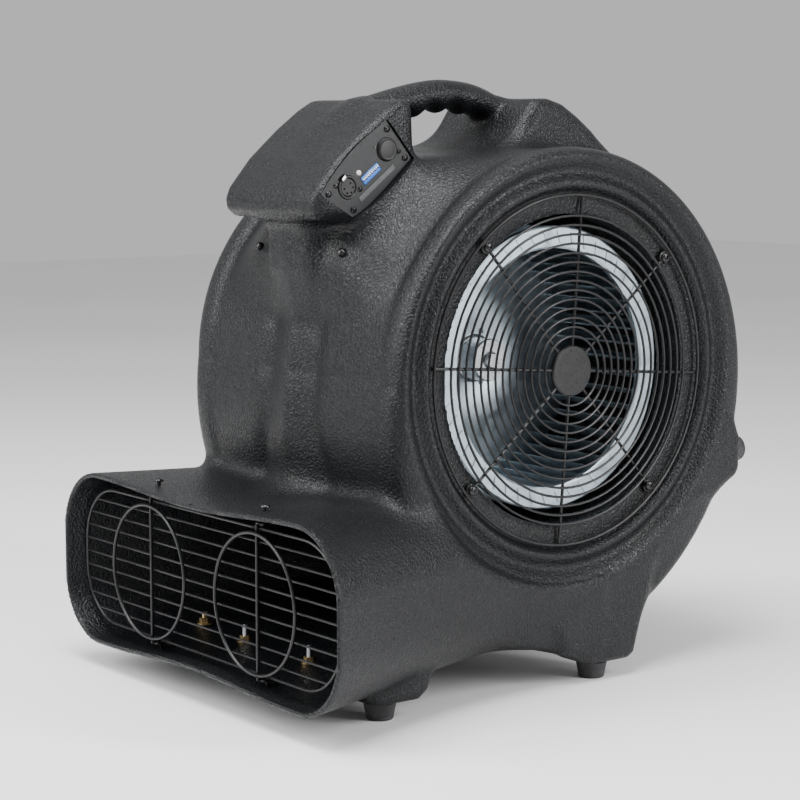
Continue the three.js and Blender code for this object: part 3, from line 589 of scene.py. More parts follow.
BACK_LEG = [(205, 168), (226, 166), (259, 182), (263, 187), (BACK_LEG_Y, 192), (BACK_LEG_Y, 222),
            (258, 232), (240, 252), (222, 205)]


def smooth_min(a, b, width):
    """The smaller of two distances, with a fillet about width across."""
    share = np.clip(0.5 + 0.5 * (b - a) / width, 0, 1)
    return b + (a - b) * share - width * share * (1 - share)


def smooth_max(a, b, width):
    return -smooth_min(-a, -b, width)


def step(value, low, high):
    t = np.clip((value - low) / (high - low), 0, 1)
    return t * t * (3 - 2 * t)


def hills(value, places):
    """A curve through places, level at each of them."""
    height = np.full_like(value, places[0][1])
    for (a, low), (b, high) in zip(places, places[1:]):
        height += (high - low) * step(value, a, b)
    return height


def swell(value, centre, width):
    return np.exp(-(((value - centre) / width) ** 2))


def beside(y, z, start, end):
    """Where each place stands from a segment's start, the segment, and the share along it."""
    ey, ez = end[0] - start[0], end[1] - start[1]
    py, pz = y - start[0], z - start[1]
    return py, pz, ey, ez, np.clip((py * ey + pz * ez) / (ey * ey + ez * ez), 0, 1)


def outline_distance(points, y, z):
    """Signed distance from a closed outline in the plane, negative inside."""
    nearest = np.full(y.shape, 1e9)
    inside = np.zeros(y.shape, bool)
    for a, b in zip(points, points[1:] + points[:1]):
        py, pz, ey, ez, t = beside(y, z, a, b)
        nearest = np.minimum(nearest, (py - ey * t) ** 2 + (pz - ez * t) ** 2)
        if ez:
            inside ^= ((a[1] > z) != (b[1] > z)) & (py < ey * pz / ez)
    return np.where(inside, -1, 1) * np.sqrt(nearest)


def slab(points, y, z, x, low, high, corner):
    """A side outline, thick from low to high along X, with rounded edges."""
    flat = (outline_distance(points, y, z) + corner)[None]
    side = np.abs(x - (low + high) / 2) - (high - low) / 2 + corner
    outside = np.hypot(np.maximum(flat, 0), np.maximum(side, 0))
    return outside + np.minimum(np.maximum(flat, side), 0) - corner


def scroll_radius(angle):
    """The snail's radius about the axle. 0 degrees is the outlet side, 90 up, 180 the back."""
    front = FRONT_RADIUS + (TOP_RADIUS - FRONT_RADIUS) * angle / 90
    front = front - SHOULDER_DIP * swell(angle, 42, 22)
    turned = np.clip(angle - 90, 0, 180) / 180
    growing = TOP_RADIUS + (BOTTOM_RADIUS - TOP_RADIUS) * turned**SCROLL_GROWTH
    closing = BOTTOM_RADIUS - (BOTTOM_RADIUS - FRONT_RADIUS) * (angle - 270) / 90
    return np.where(angle <= 90, front, np.where(angle <= 270, growing, closing))


def scroll_crown(angle, x):
    """The skin rises under the pod and under the hump behind the handle."""
    under_pod = step(angle, 12, 34) * (1 - step(angle, 54, 80))
    under_hump = step(angle, 104, 126) * (1 - step(angle, 146, 172))
    return CROWN * (under_pod + 0.7 * under_hump) * (1 - step(x, 60, 150))


def front_ridge(turn, x):
    """The raised seam down the front, between two shallow valleys, wider at its foot."""
    along = step(turn, -50, -26) * (1 - step(turn, 28, 40))
    foot = 1 - step(turn, -30, -6)
    rise = RIDGE * swell(x, 0, 15 + 17 * foot)
    valley = VALLEY * swell(x, 36 + 16 * foot, 12)
    return along * (rise - valley)


def snail(x, radius, angle, turn):
    """The scroll's barrel, and the roll at its end round the intake."""
    r = radius[None]
    base = scroll_radius(angle)[None]
    skin = base + scroll_crown(angle[None], x) + front_ridge(turn[None], x)
    barrel = smooth_max(r - skin, x - (BELL_X - 4), 16)
    # The roll round the intake: an ellipse from the barrel to the bell's crest.
    rim = np.maximum(base, CREST + 5)
    start = ROLL_START_X - 0.45 * (rim - FRONT_RADIUS)
    wide = BELL_X - start
    tall = rim - CREST
    u = np.maximum(x - start, 0) / wide
    v = np.maximum(r - CREST, 0) / tall
    reach = np.hypot(u, v)
    slope = np.maximum(np.hypot(u / wide, v / tall), 1e-6)
    roll = np.where(reach > 0, (reach - 1) * reach / slope, -8)
    roll = np.maximum(roll, np.maximum(x - BELL_X, r - rim))
    ring = smooth_max(roll, (start - 6) - x, 8)
    return smooth_min(barrel, ring, 9)


def bell_face(radius):
    """How far out the face round the intake stands: ledge, rib, groove and crest."""
    places = [(146, LEDGE_X), (167, LEDGE_X + 2), (175, RIB_X), (187, GROOVE_X), (CREST, BELL_X)]
    return hills(radius, places)


def duct(x, y, z):
    """The outlet duct: round ends, a waist above and below, and a flare at its mouth."""
    straight_from = OUTLET_Y + FLARE_DEPTH
    share = np.clip((y - straight_from) / (DUCT_END_Y - straight_from), 0, 1)
    widening = (DUCT_HALF_WIDTH - DUCT_END_HALF_WIDTH) * (1 - share) ** 1.6
    mouth = FLARE * (1 - step(y, OUTLET_Y - 6, OUTLET_Y + 29))
    width = DUCT_END_HALF_WIDTH + widening + mouth
    bottom = DUCT_BOTTOM + DUCT_RISE * step(y, OUTLET_Y, DUCT_END_Y)
    flat = (width - DUCT_CORNER)[None]
    centre = ((DUCT_TOP + bottom) / 2)[None]
    tall = ((DUCT_TOP - bottom) / 2)[None]
    waist = DUCT_WAIST * np.cos(np.clip(x / flat, 0, 1) * math.pi / 2) ** 2
    side = x - flat
    up = np.abs(z[None] - centre) - (tall - waist - DUCT_CORNER)
    outside = np.hypot(np.maximum(side, 0), np.maximum(up, 0))
    return outside + np.minimum(np.maximum(side, up), 0) - DUCT_CORNER


def grip(x, y, z):
    """The carrying handle: an oval swept along an arch, with finger waves underneath."""
    path = curve_through(GRIP, 12)
    nearest = np.full(y.shape, 1e9)
    height = np.zeros(y.shape)
    along = np.zeros(y.shape)
    for a, b in zip(path, path[1:]):
        py, pz, ey, ez, t = beside(y, z, a, b)
        gap = np.hypot(py - ey * t, pz - ez * t)
        closer = gap < nearest
        nearest = np.where(closer, gap, nearest)
        height = np.where(closer, gap * np.sign(ey * pz - ez * py), height)
        along = np.where(closer, a[0] + ey * t, along)
    held = step(along, -62, -38) * (1 - step(along, 34, 50))
    wave = FINGER_DEPTH * held * np.cos(math.tau * (along + 26) / FINGER_PITCH)
    tall = (GRIP_HALF_HEIGHT + np.where(height < 0, wave, 0))[None]
    a = np.hypot(x / GRIP_HALF_WIDTH, height[None] / tall)
    b = np.hypot(x / GRIP_HALF_WIDTH**2, height[None] / tall**2)
    return a * (a - 1) / np.maximum(b, 1e-6)


def housing_field():
    """The housing's distance on a grid of voxels, and the grid's first corner."""
    xs = np.arange(0, OUTLET_HALF_WIDTH + 6, VOXEL, dtype=np.float32)
    ys = np.arange(OUTLET_Y - 10, BACK_LEG_Y + 10, VOXEL, dtype=np.float32)
    zs = np.arange(FOOT_SEAT - 8, GRID_TOP_Z, VOXEL, dtype=np.float32)
    y, z = np.meshgrid(ys, zs, indexing="ij")
    x = xs[:, None, None]
    radius = np.hypot(y - AXIS_Y, z - AXIS_Z)
    turn = np.degrees(np.arctan2(z - AXIS_Z, AXIS_Y - y))
    angle = np.where(turn < 0, turn + 360, turn)

    path = duct(x, y, z)
    beyond_bell = np.maximum(radius[None] - (CREST + 4), BELL_X - x)
    path = smooth_max(path, -beyond_bell, 14)
    path = np.maximum(path, y[None] - DUCT_END_Y - 30)
    fillet = 20 + 18 * np.exp(-((x / 45) ** 2))
    shell = smooth_min(snail(x, radius, angle, turn), path, fillet)

    body = smooth_min(shell, slab(NECK, y, z, x, -NECK_HALF_WIDTH, NECK_HALF_WIDTH, 10), 34)
    body = smooth_min(body, slab(POD, y, z, x, -POD_HALF_WIDTH, POD_HALF_WIDTH, 11), 20)
    body = smooth_min(body, slab(HUMP, y, z, x, -HUMP_HALF_WIDTH, HUMP_HALF_WIDTH, 14), 26)
    body = smooth_min(body, grip(x, y, z), 10)
    for points, corner in ((REAR_LEG, 8), (FRONT_BOSS, 6), (BACK_LEG, 7)):
        leg = slab(points, y, z, x, FOOT_X - LEG_HALF_WIDTH, FOOT_X + LEG_HALF_WIDTH, corner)
        body = smooth_min(body, leg, 9)
    face = x - bell_face(radius)[None] - 1.6 * np.maximum(radius - CREST, 0)[None]
    body = smooth_max(body, 0.75 * face, 2)

    collar = np.maximum(radius[None] - (INTAKE_RADIUS + WALL), LIP_X - x)
    cheek = np.maximum(GROOVE_X - WALL - x, radius[None] - CREST - 8)
    hollow = np.maximum(np.maximum(shell + WALL, -cheek), -collar)
    intake = np.maximum(radius[None] - INTAKE_RADIUS, LIP_X - 2 - x)
    body = np.maximum(np.maximum(body, -hollow), -intake)
    body = np.maximum(body, OUTLET_Y + 0.1 - y[None])
    both_sides = np.concatenate([body[:0:-1], body]).astype(np.float32)
    return both_sides, np.array((-xs[-1], ys[0], zs[0]))


def surface_of(field):
    """The points and quads where the field is zero, in voxels, pulled exactly onto it."""
    grid = openvdb.FloatGrid()
    grid.background = 3 * VOXEL
    grid.copyFromArray(np.clip(field, -3 * VOXEL, 3 * VOXEL))
    points, quads = grid.convertToQuads(isovalue=0)
    gradient = np.gradient(field)
    top = np.array(field.shape) - 1.001
    for _ in range(2):
        cell = np.clip(points, 0, top)
        low = np.floor(cell).astype(int)
        share = cell - low
        value = np.zeros(len(points))
        slope = np.zeros((len(points), 3))
        for corner in np.ndindex(2, 2, 2):
            weight = np.prod(np.where(corner, share, 1 - share), axis=1)
            at = tuple((low + corner).T)
            value += weight * field[at]
            slope += weight[:, None] * np.stack([g[at] for g in gradient], 1)
        steep = np.maximum((slope**2).sum(1), 0.01)
        move = np.clip(value / np.sqrt(steep), -0.6, 0.6) / np.sqrt(steep)
        points = points - slope * move[:, None]
    return points, quads


PANEL_EDGE = [(-55.5, 13.5), (-38, 18.4), (-13, 22.4), (12, 23.6), (43.6, 21.4)]
PANEL_FOOT = [(45.6, -24.4), (24, -26.4), (1, -27.6), (-22, -27.4), (-40.5, -24.6)]


def panel_outline(grow=0.0):
    """The panel's outline, anticlockwise: a bowed top edge and a bowed foot."""
    edge = curve_through(PANEL_EDGE, 5)
    foot = curve_through(PANEL_FOOT, 5)
    centre = np.array((-4, -2))
    outline = np.vstack([edge, foot])[::-1]
    away = outline - centre
    return [tuple(p) for p in outline + grow * away / np.linalg.norm(away, axis=1)[:, None]]


def build_housing():
    field, corner = housing_field()
    points, quads = surface_of(field)
    mesh = bpy.data.meshes.new("housing_shell")
    mesh.from_pydata((points * VOXEL + corner) * MM, [], quads.tolist())
    obj = placed("housing_shell", mesh)
    thin = obj.modifiers.new("thin", "DECIMATE")
    thin.ratio = FACES_KEPT
    settle(obj)
    recess = Shape().prism(panel_outline(PANEL_GAP), -PANEL_RECESS, 20, on_panel(0, 0))
    carve(obj, recess, "MANIFOLD")
    notch = moved(0, OUTLET_Y, DUCT_TOP - 4) @ rotated(math.pi / 4, "Y")
    carve(obj, Shape().block(NOTCH, notch), "MANIFOLD")
    cavity = Shape().block(CAVITY, on_panel(0, -2.8, -CAVITY[2] / 2))
    carve(obj, cavity, "MANIFOLD")
    finish_piece(obj, PEBBLE, ("housing",), sharp=42)


# ---------- Intake grilles ----------
GRILLE_RINGS = 14
GRILLE_DISC = 24
GRILLE_OUTER = 165
GRILLE_INNER = 145.5
GRILLE_WIRE = 1.2
SPOKE_WIRE = 1.5
GRILLE_TURN = 4.4
GRILLE_SCREW_RADIUS = 157
EYELET = 5.2


def build_grille(side):
    sign = 1 if side == "right" else -1
    low, high = span(f"intake_grille_{side}")
    back = min(abs(low.x), abs(high.x))
    turn = rotated(math.radians(-GRILLE_TURN))
    place = about_axle(sign) @ turn
    rings = back + 2 * SPOKE_WIRE + GRILLE_WIRE - 0.4
    spokes = back + SPOKE_WIRE
    shape = Shape()
    pitch = (GRILLE_INNER - GRILLE_DISC) / GRILLE_RINGS
    for i in range(GRILLE_RINGS):
        shape.ring(GRILLE_DISC + pitch * (i + 1), GRILLE_WIRE, place, rings, 72)
    shape.ring(GRILLE_OUTER, SPOKE_WIRE, place, rings, 96)
    dish = [(0, back), (GRILLE_DISC - 0.8, back), (GRILLE_DISC, back + 0.8),
            (GRILLE_DISC, rings - 0.2), (GRILLE_DISC - 1.2, rings + 1), (GRILLE_DISC - 5, rings + 1.2),
            (0, rings + 0.4)]
    shape.lathe(dish, place, 64)
    for quarter in range(4):
        spoke = rotated(math.radians(90 * quarter))
        ends = [(GRILLE_DISC - 2, 0, spokes), (GRILLE_OUTER + 1.2, 0, spokes)]
        shape.tube(ends, SPOKE_WIRE, place @ spoke)
        slant = rotated(math.radians(90 * quarter + 45))
        shape.tube(eyelet_wire(spokes), SPOKE_WIRE, place @ slant)
    name = f"grille_wires_{side}"
    piece(name, shape, WIRE, (f"intake_grille_{side}",))


def eyelet_wire(height):
    """A spoke that ends in a loop round its screw, out to the rim wire."""
    path = [(GRILLE_DISC - 2, 0, height), (GRILLE_SCREW_RADIUS - EYELET - 3, 0, height)]
    for k in range(15):
        turn = math.radians(180 - 22 * k)
        path.append((GRILLE_SCREW_RADIUS + EYELET * math.cos(turn), EYELET * math.sin(turn), height))
    return path


# ---------- Screws ----------
def pan_head(place, radius, height, name, node, shank=6.0):
    """A pan-head screw with a cross recess; Z points out of the head."""
    profile = [(0, -shank), (radius * 0.35, -shank), (radius * 0.4, 0), (radius * 0.96, 0),
               (radius, height * 0.25), (radius * 0.9, height * 0.62), (radius * 0.62, height * 0.9),
               (radius * 0.3, height), (0, height)]
    obj = piece(name, Shape().lathe(profile, place, 24), SCREW, (node,))
    arm = radius * 0.95
    width = radius * 0.22
    top = place @ moved(0, 0, height)
    cross = [Shape().block(size, top) for size in ((arm, width, height), (width, arm, height))]
    cut_out(obj, SCREW, *cross)


def build_grille_screws():
    for side, sign in (("right", 1), ("left", -1)):
        for i in range(1, 5):
            node = f"grille_screw_{side}_{i}"
            low, high = span(node)
            seat = (high.x - 3.6) if sign > 0 else (low.x + 3.6)
            centre = middle(node)
            place = moved(seat, centre.y, centre.z)
            place = place @ rotated(sign * math.pi / 2, "Y")
            spin = rotated(math.radians(31 * i))
            pan_head(place @ spin, 5, 3.6, f"grille_fixing_{side}_{i}", node)
            washer = [(2.2, 0), (4.6, 0), (4.6, 0.5), (2.2, 0.5)]
            down = moved(0, 0, -0.45)
            piece(f"grille_washer_{side}_{i}", Shape().lathe(washer, place @ down, 24), SCREW)


def build_guard_screws():
    for up, sign in (("top", 1), ("bottom", -1)):
        for side in ("right", "left"):
            node = f"guard_screw_{up}_{side}"
            low, high = span(node)
            seat = high.z - 3 if sign > 0 else low.z + 3
            centre = middle(node)
            place = moved(centre.x, centre.y, seat)
            if sign < 0:
                place = place @ rotated(math.pi, "X")
            pan_head(place, 4.5, 3, f"guard_fixing_{up}_{side}", node, 13)


def build_casing_screws():
    """Small dark screws on the skin: two on the front, one beside the handle."""
    for name, x, turn, radius in (("front_right", 67, 30, 228.3), ("front_left", -67, 30, 228.3),
                                  ("top_right", 74, 70, 207.5)):
        way = Vector((0, -math.cos(math.radians(turn)), math.sin(math.radians(turn))))
        seat = Vector((x, AXIS_Y, AXIS_Z)) + way * radius
        place = Matrix.Translation(seat) @ way.to_track_quat("Z", "Y").to_matrix().to_4x4()
        dome = [(0, -3), (4.2, -3), (4.2, 0.4), (3.8, 1.3), (2.6, 2.1), (0, 2.4)]
        piece(f"casing_screw_{name}", Shape().lathe(dome, place, 24), SCREW, sharp=50)


def build_panel_screws():
    for i in range(1, 5):
        node = f"panel_screw_{i}"
        spin = rotated(math.radians(23 * i))
        pan_head(panel_place(node, 0.3) @ spin, 3, 2, f"panel_fixing_{i}", node, 8)
    for kind in ("output", "input"):
        for i in (1, 2):
            node = f"{kind}_socket_screw_{i}"
            pan_head(panel_place(node, 0.3), 2.5, 1.4, f"{kind}_socket_fixing_{i}", node, 4.5)


# ---------- Outlet guard ----------
GUARD_WIRE = 1.5
GUARD_ROWS = 9
GUARD_CORNER = 55
GUARD_RING = 64.5
GUARD_RING_Z = 108


def build_guard():
    low, high = span("outlet_guard")
    half = high.x
    column = middle("guard_screw_top_right").x
    tab_top, tab_bottom = high.z, low.z
    bottom, top = 42, 178
    frame_y = middle("guard_screw_top_right").y - 6
    shape = Shape()
    rim = [(x, frame_y - GUARD_WIRE, z + (top + bottom) / 2)
           for x, z in rounded(2 * half - 3, top - bottom - 3, GUARD_CORNER, 10)]
    shape.tube(rim, GUARD_WIRE, closed=True)
    pitch = (top - bottom) / (GUARD_ROWS + 1)
    for row in range(1, GUARD_ROWS + 1):
        z = bottom + pitch * row
        lost = max(0, GUARD_CORNER - min(z - bottom, top - z))
        reach = half - GUARD_CORNER + math.sqrt(GUARD_CORNER**2 - lost**2) - 1.5
        shape.tube([(-reach, frame_y - GUARD_WIRE, z), (reach, frame_y - GUARD_WIRE, z)], 1.1)
    front = low.y + GUARD_WIRE + 0.2
    for x in (-column, column):
        upright_y = frame_y - 3.6
        shape.tube([(x, upright_y, tab_bottom + 1), (x, upright_y, tab_top - 1)], GUARD_WIRE)
        stand = moved(x, front, GUARD_RING_Z) @ rotated(math.pi / 2, "X")
        shape.ring(GUARD_RING, 1.7, stand, 0, 80, 12)
        for z in (tab_top - 1, tab_bottom + 1):
            tab = moved(x, frame_y + 8, z)
            shape.block((12, 20, 1.8), tab, 3)
    piece("guard_wires", shape, WIRE, ("outlet_guard",))


# ---------- Feet and their bolts ----------
THREAD_PITCH = 1.2
BACK_BOLT = 40


def build_feet():
    for name in ("front", "rear", "back"):
        for side in ("right", "left"):
            node = f"{name}_foot_{side}"
            centre = middle(node)
            if name == "back":
                place = moved(centre.x, span(node)[1].y, centre.z)
                place = place @ rotated(math.pi / 2, "X")
            else:
                place = moved(centre.x, centre.y, 0)
            build_foot(node, place)
            build_bolt(name, side, place)


def build_foot(node, place):
    top = FOOT_HEIGHT
    profile = [(3.5, top - 6), (8, top - 6), (8, 0.6), (8.6, 0), (11.6, 0), (12.5, 0.9),
               (12.9, 2.6), (12.6, 3.1), (12.9, 3.6), (15.1, top - 1.2), (15.5, top - 0.4),
               (15.1, top), (3.5, top)]
    piece(f"{node}_pad", Shape().lathe(profile, place, 56), RUBBER, (node,), sharp=50)


def build_bolt(name, side, place):
    node = f"{name}_foot_bolt_{side}"
    head_top = FOOT_HEIGHT - 6.3
    shape = Shape()
    shape.prism(circle(6.3, 6), head_top - 4, head_top, place)
    length = span(node)[1].z if name != "back" else BACK_BOLT
    thread = [(0, head_top - 0.2)]
    turns = int((length - head_top) / THREAD_PITCH)
    for i in range(turns):
        at = head_top + THREAD_PITCH * i
        thread += [(2.95, at), (2.5, at + 0.6)]
    thread.append((0, head_top + THREAD_PITCH * turns))
    shape.lathe(thread, place, 16)
    if name == "front":
        seat = span(node)[1].z - 14
        shape.prism(circle(5.5, 6), seat + 1.6, seat + 6.5, place)
        shape.lathe([(3, seat), (8, seat), (8, seat + 1.5), (3, seat + 1.5)], place, 32)
    piece(f"{node}_set", shape, BRASS, (node,))


def build_duct_bolts():
    """Two upright bolts with brass nuts on the duct's floor, seen through the guard."""
    for name, x in (("right", 58), ("left", -50)):
        place = moved(x, -187, 35.8)
        nut = Shape().lathe([(3, 0), (8, 0), (8, 1.4), (3, 1.4)], place, 32)
        nut.prism(circle(5.6, 6), 1.5, 6.4, place)
        piece(f"duct_nut_{name}", nut, BRASS)
        shank = Shape().lathe([(0, 0), (2.8, 0), (2.8, 16), (2.2, 17), (0, 17)], place, 20)
        piece(f"duct_bolt_{name}", shank, STEEL)


# ---------- Control panel ----------
CONTACTS = 5
CONTACT_CIRCLE = 5
SLIDERS = 10


def build_panel():
    plate = Shape().prism(panel_outline(), -2, 0, on_panel(0, 0))
    obj = piece("panel_plate", plate, PANEL, ("control_panel",))
    sockets = [Shape().prism(circle(11.2, 48), -4, 4, panel_place(f"{kind}_socket"))
               for kind in ("output", "input")]
    cut_out(obj, PANEL, *sockets,
            Shape().block((23.7, 8.7, 8), panel_place("address_switch_body")),
            Shape().prism(circle(2.7, 24), -4, 4, panel_place("status_lamp")),
            Shape().block((7, 5, 8), panel_place("output_socket_latch")))
    strip = Shape().prism(rounded(49, 4.6, 0.8), 0.05, 0.32, on_panel(0.5, -17.4))
    piece("label_strip", strip, LABEL)
    border = Shape().prism(rounded(50.6, 6.2, 1.2), -0.2, 0.12, on_panel(0.5, -17.4))
    piece("label_border", border, SOCKET)


def build_output_socket():
    node = "output_socket"
    place = panel_place(node)
    rim = [(8.4, -20), (10.8, -20), (10.8, 0.9), (10.4, 1.3), (9.0, 1.3), (8.4, 0.6)]
    barrel = piece("output_barrel", Shape().lathe(rim, place, 64), SOCKET, (node,))
    slot = Shape().block((6.4, 4.4, 12), panel_place("output_socket_latch"))
    cut_out(barrel, SOCKET, slot)
    face = [(0, -18), (8.0, -18), (8.0, 0.2), (7.6, 0.5), (0, 0.5)]
    contacts = piece("output_contacts", Shape().lathe(face, place, 64), SOCKET_FACE)
    holes = Shape()
    for k in range(CONTACTS):
        turn = math.radians(30 - 60 * k)
        centre = (CONTACT_CIRCLE * math.cos(turn), CONTACT_CIRCLE * math.sin(turn) - 1)
        holes.prism(circle(0.95, 16, *centre), -7, 3, place)
    cut_out(contacts, SOCKET_FACE, holes, slot)


def build_input_socket():
    node = "input_socket"
    rim = [(8.9, -20), (10.8, -20), (10.8, 0.7), (10.3, 1.2), (9.3, 1.2), (8.9, 0.8)]
    piece("input_barrel", Shape().lathe(rim, panel_place(node), 64), SOCKET, (node,))


def build_cap():
    place = panel_place("input_socket_cap")
    shape = Shape().lathe([(0, -12), (8.2, -12), (8.4, -11.4), (8.4, 1.3), (10.2, 1.5), (10.5, 1.9),
                           (10.3, 2.6), (9.4, 3.0), (8.9, 2.75), (7.8, 2.9), (3, 3.1), (0, 3.1)],
                          place, 64)
    piece("socket_cap_cover", shape, SOCKET_FACE, ("input_socket_cap",), body="socket_cap",
          sharp=50)


def build_latch():
    node = "output_socket_latch"
    place = panel_place(node)
    out = span(node)[1].x - PANEL_X
    shape = Shape()
    shape.block((5.6, 3.4, 1.0), place @ moved(0, 0, out - 0.5), 1.2)
    shape.block((3.2, 1.0, out + 1.6), place @ moved(0, -1.1, (out - 1.8) / 2), 0.3)
    piece("latch_tab", shape, SILVER, (node,), body="latch", bevel=0.15)


def build_switches():
    node = "address_switch_body"
    place = panel_place(node)
    raised = span(node)[1].x - PANEL_X
    shape = Shape().block((23, 8, 6), place @ moved(0, 0, raised - 3), 0.4)
    obj = piece("switch_block", shape, BLUE, (node,), bevel=0.25)
    slots = Shape()
    for i in range(1, SLIDERS + 1):
        rest = panel_place(f"address_switch_slider_{i}", raised)
        slots.block((1.5, 4.0, 3), rest @ moved(0, -0.7, 0), 0.2)
    cut_out(obj, BLUE, slots)
    for i in range(1, SLIDERS + 1):
        node = f"address_switch_slider_{i}"
        rest = panel_place(node, span(node)[1].x - PANEL_X)
        nib = Shape().block((1.05, 1.9, 2), rest @ moved(0, 0, -1), 0.25)
        piece(f"switch_nib_{i}", nib, WHITE, (node,), body=f"slider_{i}", bevel=0.12)


def build_lamp():
    place = panel_place("status_lamp")
    radius = 2.4
    dome = [(0, -5), (radius, -5), (radius, 0.6)]
    dome += [(radius * math.cos(math.radians(t)), 0.6 + 1.8 * math.sin(math.radians(t)))
             for t in range(15, 90, 15)]
    dome.append((0, 2.4))
    piece("lamp_dome", Shape().lathe(dome, place, 32), LENS, ("status_lamp",))


# ---------- Wheel, hub, shaft and motor ----------
WHEEL_RADIUS = 135
WHEEL_INNER = 114
BLADES = 48
BLADE = 0.9
WHEEL_HALF = 136
PLATE_X = 10


def blade_outline():
    """One forward-curved blade as a bent strip, seen along the axle."""
    spine = [(WHEEL_INNER + 2, 0), (120, -2.2), (126, -2.4), (131, -0.6), (WHEEL_RADIUS - 1, 2.4)]
    spine = curve_through(spine, 3)
    back = [tuple(p) for p in spine]
    front = [(x, y + BLADE) for x, y in back[::-1]]
    return back + front


def build_wheel():
    place = about_axle()
    shape = Shape()
    outline = blade_outline()
    for i in range(BLADES):
        turn = rotated(math.tau * i / BLADES)
        shape.prism(outline, -WHEEL_HALF + 3, WHEEL_HALF - 3, place @ turn)
    disc = [(18, PLATE_X - 1), (WHEEL_RADIUS - 1, PLATE_X - 1), (WHEEL_RADIUS - 1, PLATE_X + 1),
            (70, PLATE_X + 1), (66, PLATE_X + 2.6), (38, PLATE_X + 2.6), (34, PLATE_X + 1),
            (18, PLATE_X + 1)]
    shape.lathe(disc, place, 96)
    piece("wheel_blades", shape, ZINC, ("blower_wheel",), body="wheel")
    for sign, name in ((1, "right"), (-1, "left")):
        ends = Shape()
        end = about_axle(sign)
        band = [(WHEEL_INNER, WHEEL_HALF - 2.2), (WHEEL_INNER - 0.6, WHEEL_HALF - 6),
                (WHEEL_INNER + 0.6, WHEEL_HALF - 6), (WHEEL_INNER + 1.4, WHEEL_HALF - 2.4),
                (WHEEL_RADIUS - 1.2, WHEEL_HALF - 2.4), (WHEEL_RADIUS - 1.2, WHEEL_HALF - 9),
                (WHEEL_RADIUS, WHEEL_HALF - 9), (WHEEL_RADIUS, WHEEL_HALF - 2),
                (WHEEL_RADIUS - 1.6, WHEEL_HALF - 1.0), (WHEEL_INNER + 2, WHEEL_HALF - 1.0)]
        ends.lathe(band, end, 120)
        for i in range(BLADES):
            turn = rotated(math.tau * (i + 0.5) / BLADES)
            lean = rotated(math.radians(24))
            crimp = end @ turn @ moved(124.5, 0, WHEEL_HALF - 0.8) @ lean
            ends.block((13, 2.2, 1.2), crimp, 1.0)
        piece(f"wheel_ring_{name}", ends, ZINC, body="wheel", sharp=30)


def build_hub():
    place = about_axle()
    low, high = span("wheel_hub")
    back, nose = low.x, high.x
    profile = [(7.9, back), (24, back), (24, back + 7), (23, back + 8.2), (21.4, back + 9),
               (21, nose - 1.2), (20, nose), (9, nose), (7.9, nose - 1)]
    obj = piece("hub_boss", Shape().lathe(profile, place, 64), STEEL, ("wheel_hub",), body="wheel")
    grub = place @ moved(0, 0, nose - 12) @ rotated(math.pi / 2, "Y")
    cut_out(obj, STEEL, Shape().prism(circle(4, 24), 14, 30, grub))
    screw = Shape().lathe([(0, 12), (3.6, 12), (3.6, 17.6), (3.2, 18), (0, 18)], grub, 20)
    piece("hub_grub_screw", screw, SCREW, body="wheel")
    rivets = Shape()
    for i in range(6):
        turn = rotated(math.tau * (i + 0.5) / 6)
        at = place @ turn @ moved(29.5, 0, PLATE_X + 1)
        rivets.lathe([(0, -0.3), (3, -0.3), (3, 0.6), (1.8, 1.7), (0, 2)], at, 16)
    piece("hub_rivets", rivets, STEEL, body="wheel")
    low, high = span("motor_shaft")
    shaft = 7.5
    rod = [(0, low.x), (shaft, low.x), (shaft, high.x - 1), (shaft - 1, high.x), (0, high.x)]
    piece("shaft_rod", Shape().lathe(rod, place, 40), STEEL, ("motor_shaft",), body="wheel")


def build_motor():
    place = about_axle()
    low, high = span("motor")
    far, near = low.x, high.x
    radius = 68
    seam = (far + near) / 2
    profile = [(0, far), (22, far), (24, far + 3), (40, far + 4), (52, far + 8), (61, far + 13),
               (66.5, far + 20), (67, seam - 16), (radius, seam - 15), (radius, seam + 15),
               (67, seam + 16), (66.5, near - 20), (61, near - 13), (52, near - 8), (34, near - 4),
               (24, near - 3), (22, near - 0.5), (8.2, near - 0.5), (8.2, near - 6), (0, near - 6)]
    obj = piece("motor_shell", Shape().lathe(profile, place, 72), MOTOR, ("motor",))
    vents = Shape()
    for i in range(12):
        turn = rotated(math.tau * i / 12)
        at = place @ turn @ moved(46, 0, far + 5)
        vents.block((14, 5, 9), at, 2.4)
    cut_out(obj, MOTOR, vents)
    low, high = span("run_capacitor")
    centre = middle("run_capacitor")
    can = moved(0, centre.y, centre.z) @ rotated(math.pi / 2, "Y")
    case = [(0, low.x), (16, low.x), (16.8, low.x + 0.8), (16.8, high.x - 1.5), (15.6, high.x - 0.3),
            (0, high.x - 0.3)]
    piece("capacitor_can", Shape().lathe(case, can, 48), SOCKET_FACE, ("run_capacitor",))


def paint_carried_nodes():
    """The CAD nodes that stay: hidden inside, or already the right shape."""
    for node, material in (("motor_mount", STEEL), ("control_board", BOARD)):
        for place in frame["nodes"][node].material_slots:
            place.material = material


# ---------- Floor, lights and camera ----------
FLOOR_HALF = 6000
CAMERA_AZIMUTH = 52.7
CAMERA_ELEVATION = 7.1
CAMERA_TARGET = Vector((0, -37, 265.1))
CAMERA_DISTANCE = 2180
CAMERA_LENS = 100.3
AMBIENT = 0.58


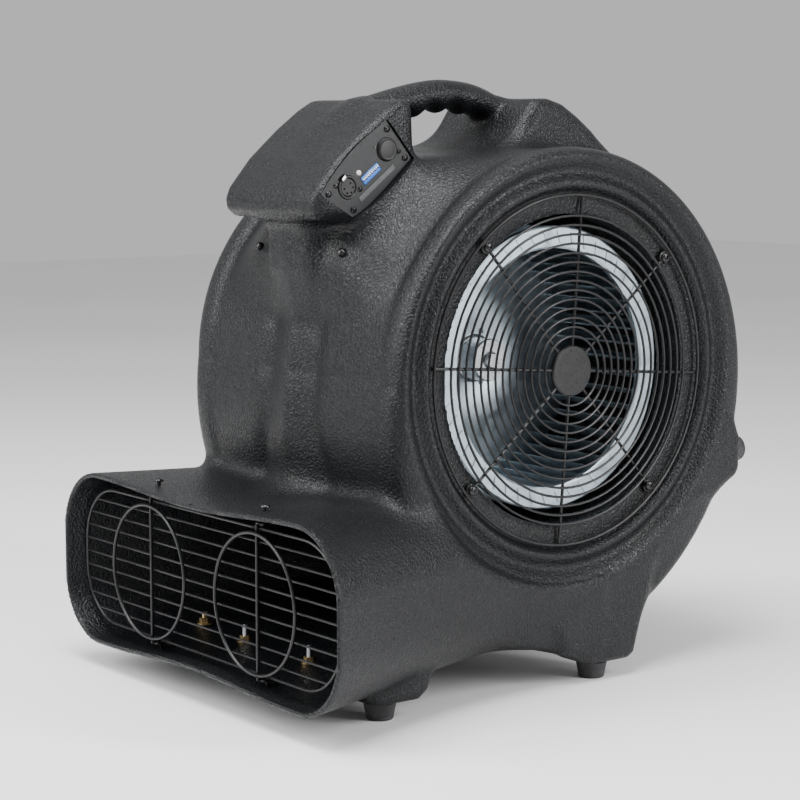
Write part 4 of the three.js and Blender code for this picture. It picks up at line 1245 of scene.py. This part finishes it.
def pale_floor():
    f = Finish("pale_floor", (0.86, 0.86, 0.86), 0.7)
    f.colour(f.ramp(f.noise(900, 2), (0.84, 0.84, 0.84), (0.88, 0.88, 0.88)))
    shape = Shape().prism(rounded(2 * FLOOR_HALF, 2 * FLOOR_HALF, 0), -20, -0.05)
    obj = bare("floor", shape)
    obj.data.materials.append(f.material)


def toward(azimuth, elevation):
    """A unit vector from the object to a viewer at that azimuth and elevation."""
    a, e = math.radians(azimuth), math.radians(elevation)
    return Vector((math.sin(a) * math.cos(e), -math.cos(a) * math.cos(e), math.sin(e)))


def area_light(name, azimuth, elevation, distance, size, power, tint=(1, 1, 1)):
    lamp = bpy.data.lights.new(name, "AREA")
    lamp.shape = "RECTANGLE"
    lamp.size, lamp.size_y = size[0] * MM, size[1] * MM
    lamp.energy = power
    lamp.color = tint
    obj = placed(name, lamp)
    way = toward(azimuth, elevation)
    obj.location = (CAMERA_TARGET + way * distance) * MM
    obj.rotation_euler = way.to_track_quat("Z", "Y").to_euler()


def studio():
    world = bpy.data.worlds.new("studio")
    world.use_nodes = True
    sky = world.node_tree.nodes["Background"].inputs
    sky["Color"].default_value = (1, 1, 1, 1)
    sky["Strength"].default_value = AMBIENT
    bpy.context.scene.world = world
    area_light("softbox_top", 20, 72, 1900, (1500, 1100), 75)
    area_light("softbox_left", -25, 28, 2300, (1100, 1500), 55)
    area_light("strip_right", 118, 22, 2200, (500, 1600), 50)


def camera():
    lens = bpy.data.cameras.new("camera")
    lens.lens = CAMERA_LENS
    lens.sensor_width = 36
    lens.clip_end = 60
    obj = placed("camera", lens)
    way = toward(CAMERA_AZIMUTH, CAMERA_ELEVATION)
    obj.location = (CAMERA_TARGET + way * CAMERA_DISTANCE) * MM
    obj.rotation_euler = way.to_track_quat("Z", "Y").to_euler()
    bpy.context.scene.camera = obj


camera()
studio()
pale_floor()
build_housing()
for side_name in ("right", "left"):
    build_grille(side_name)
build_grille_screws()
build_guard()
build_guard_screws()
build_feet()
build_duct_bolts()
build_panel()
build_output_socket()
build_input_socket()
build_cap()
build_latch()
build_switches()
build_lamp()
build_panel_screws()
build_casing_screws()
build_wheel()
build_hub()
build_motor()
paint_carried_nodes()
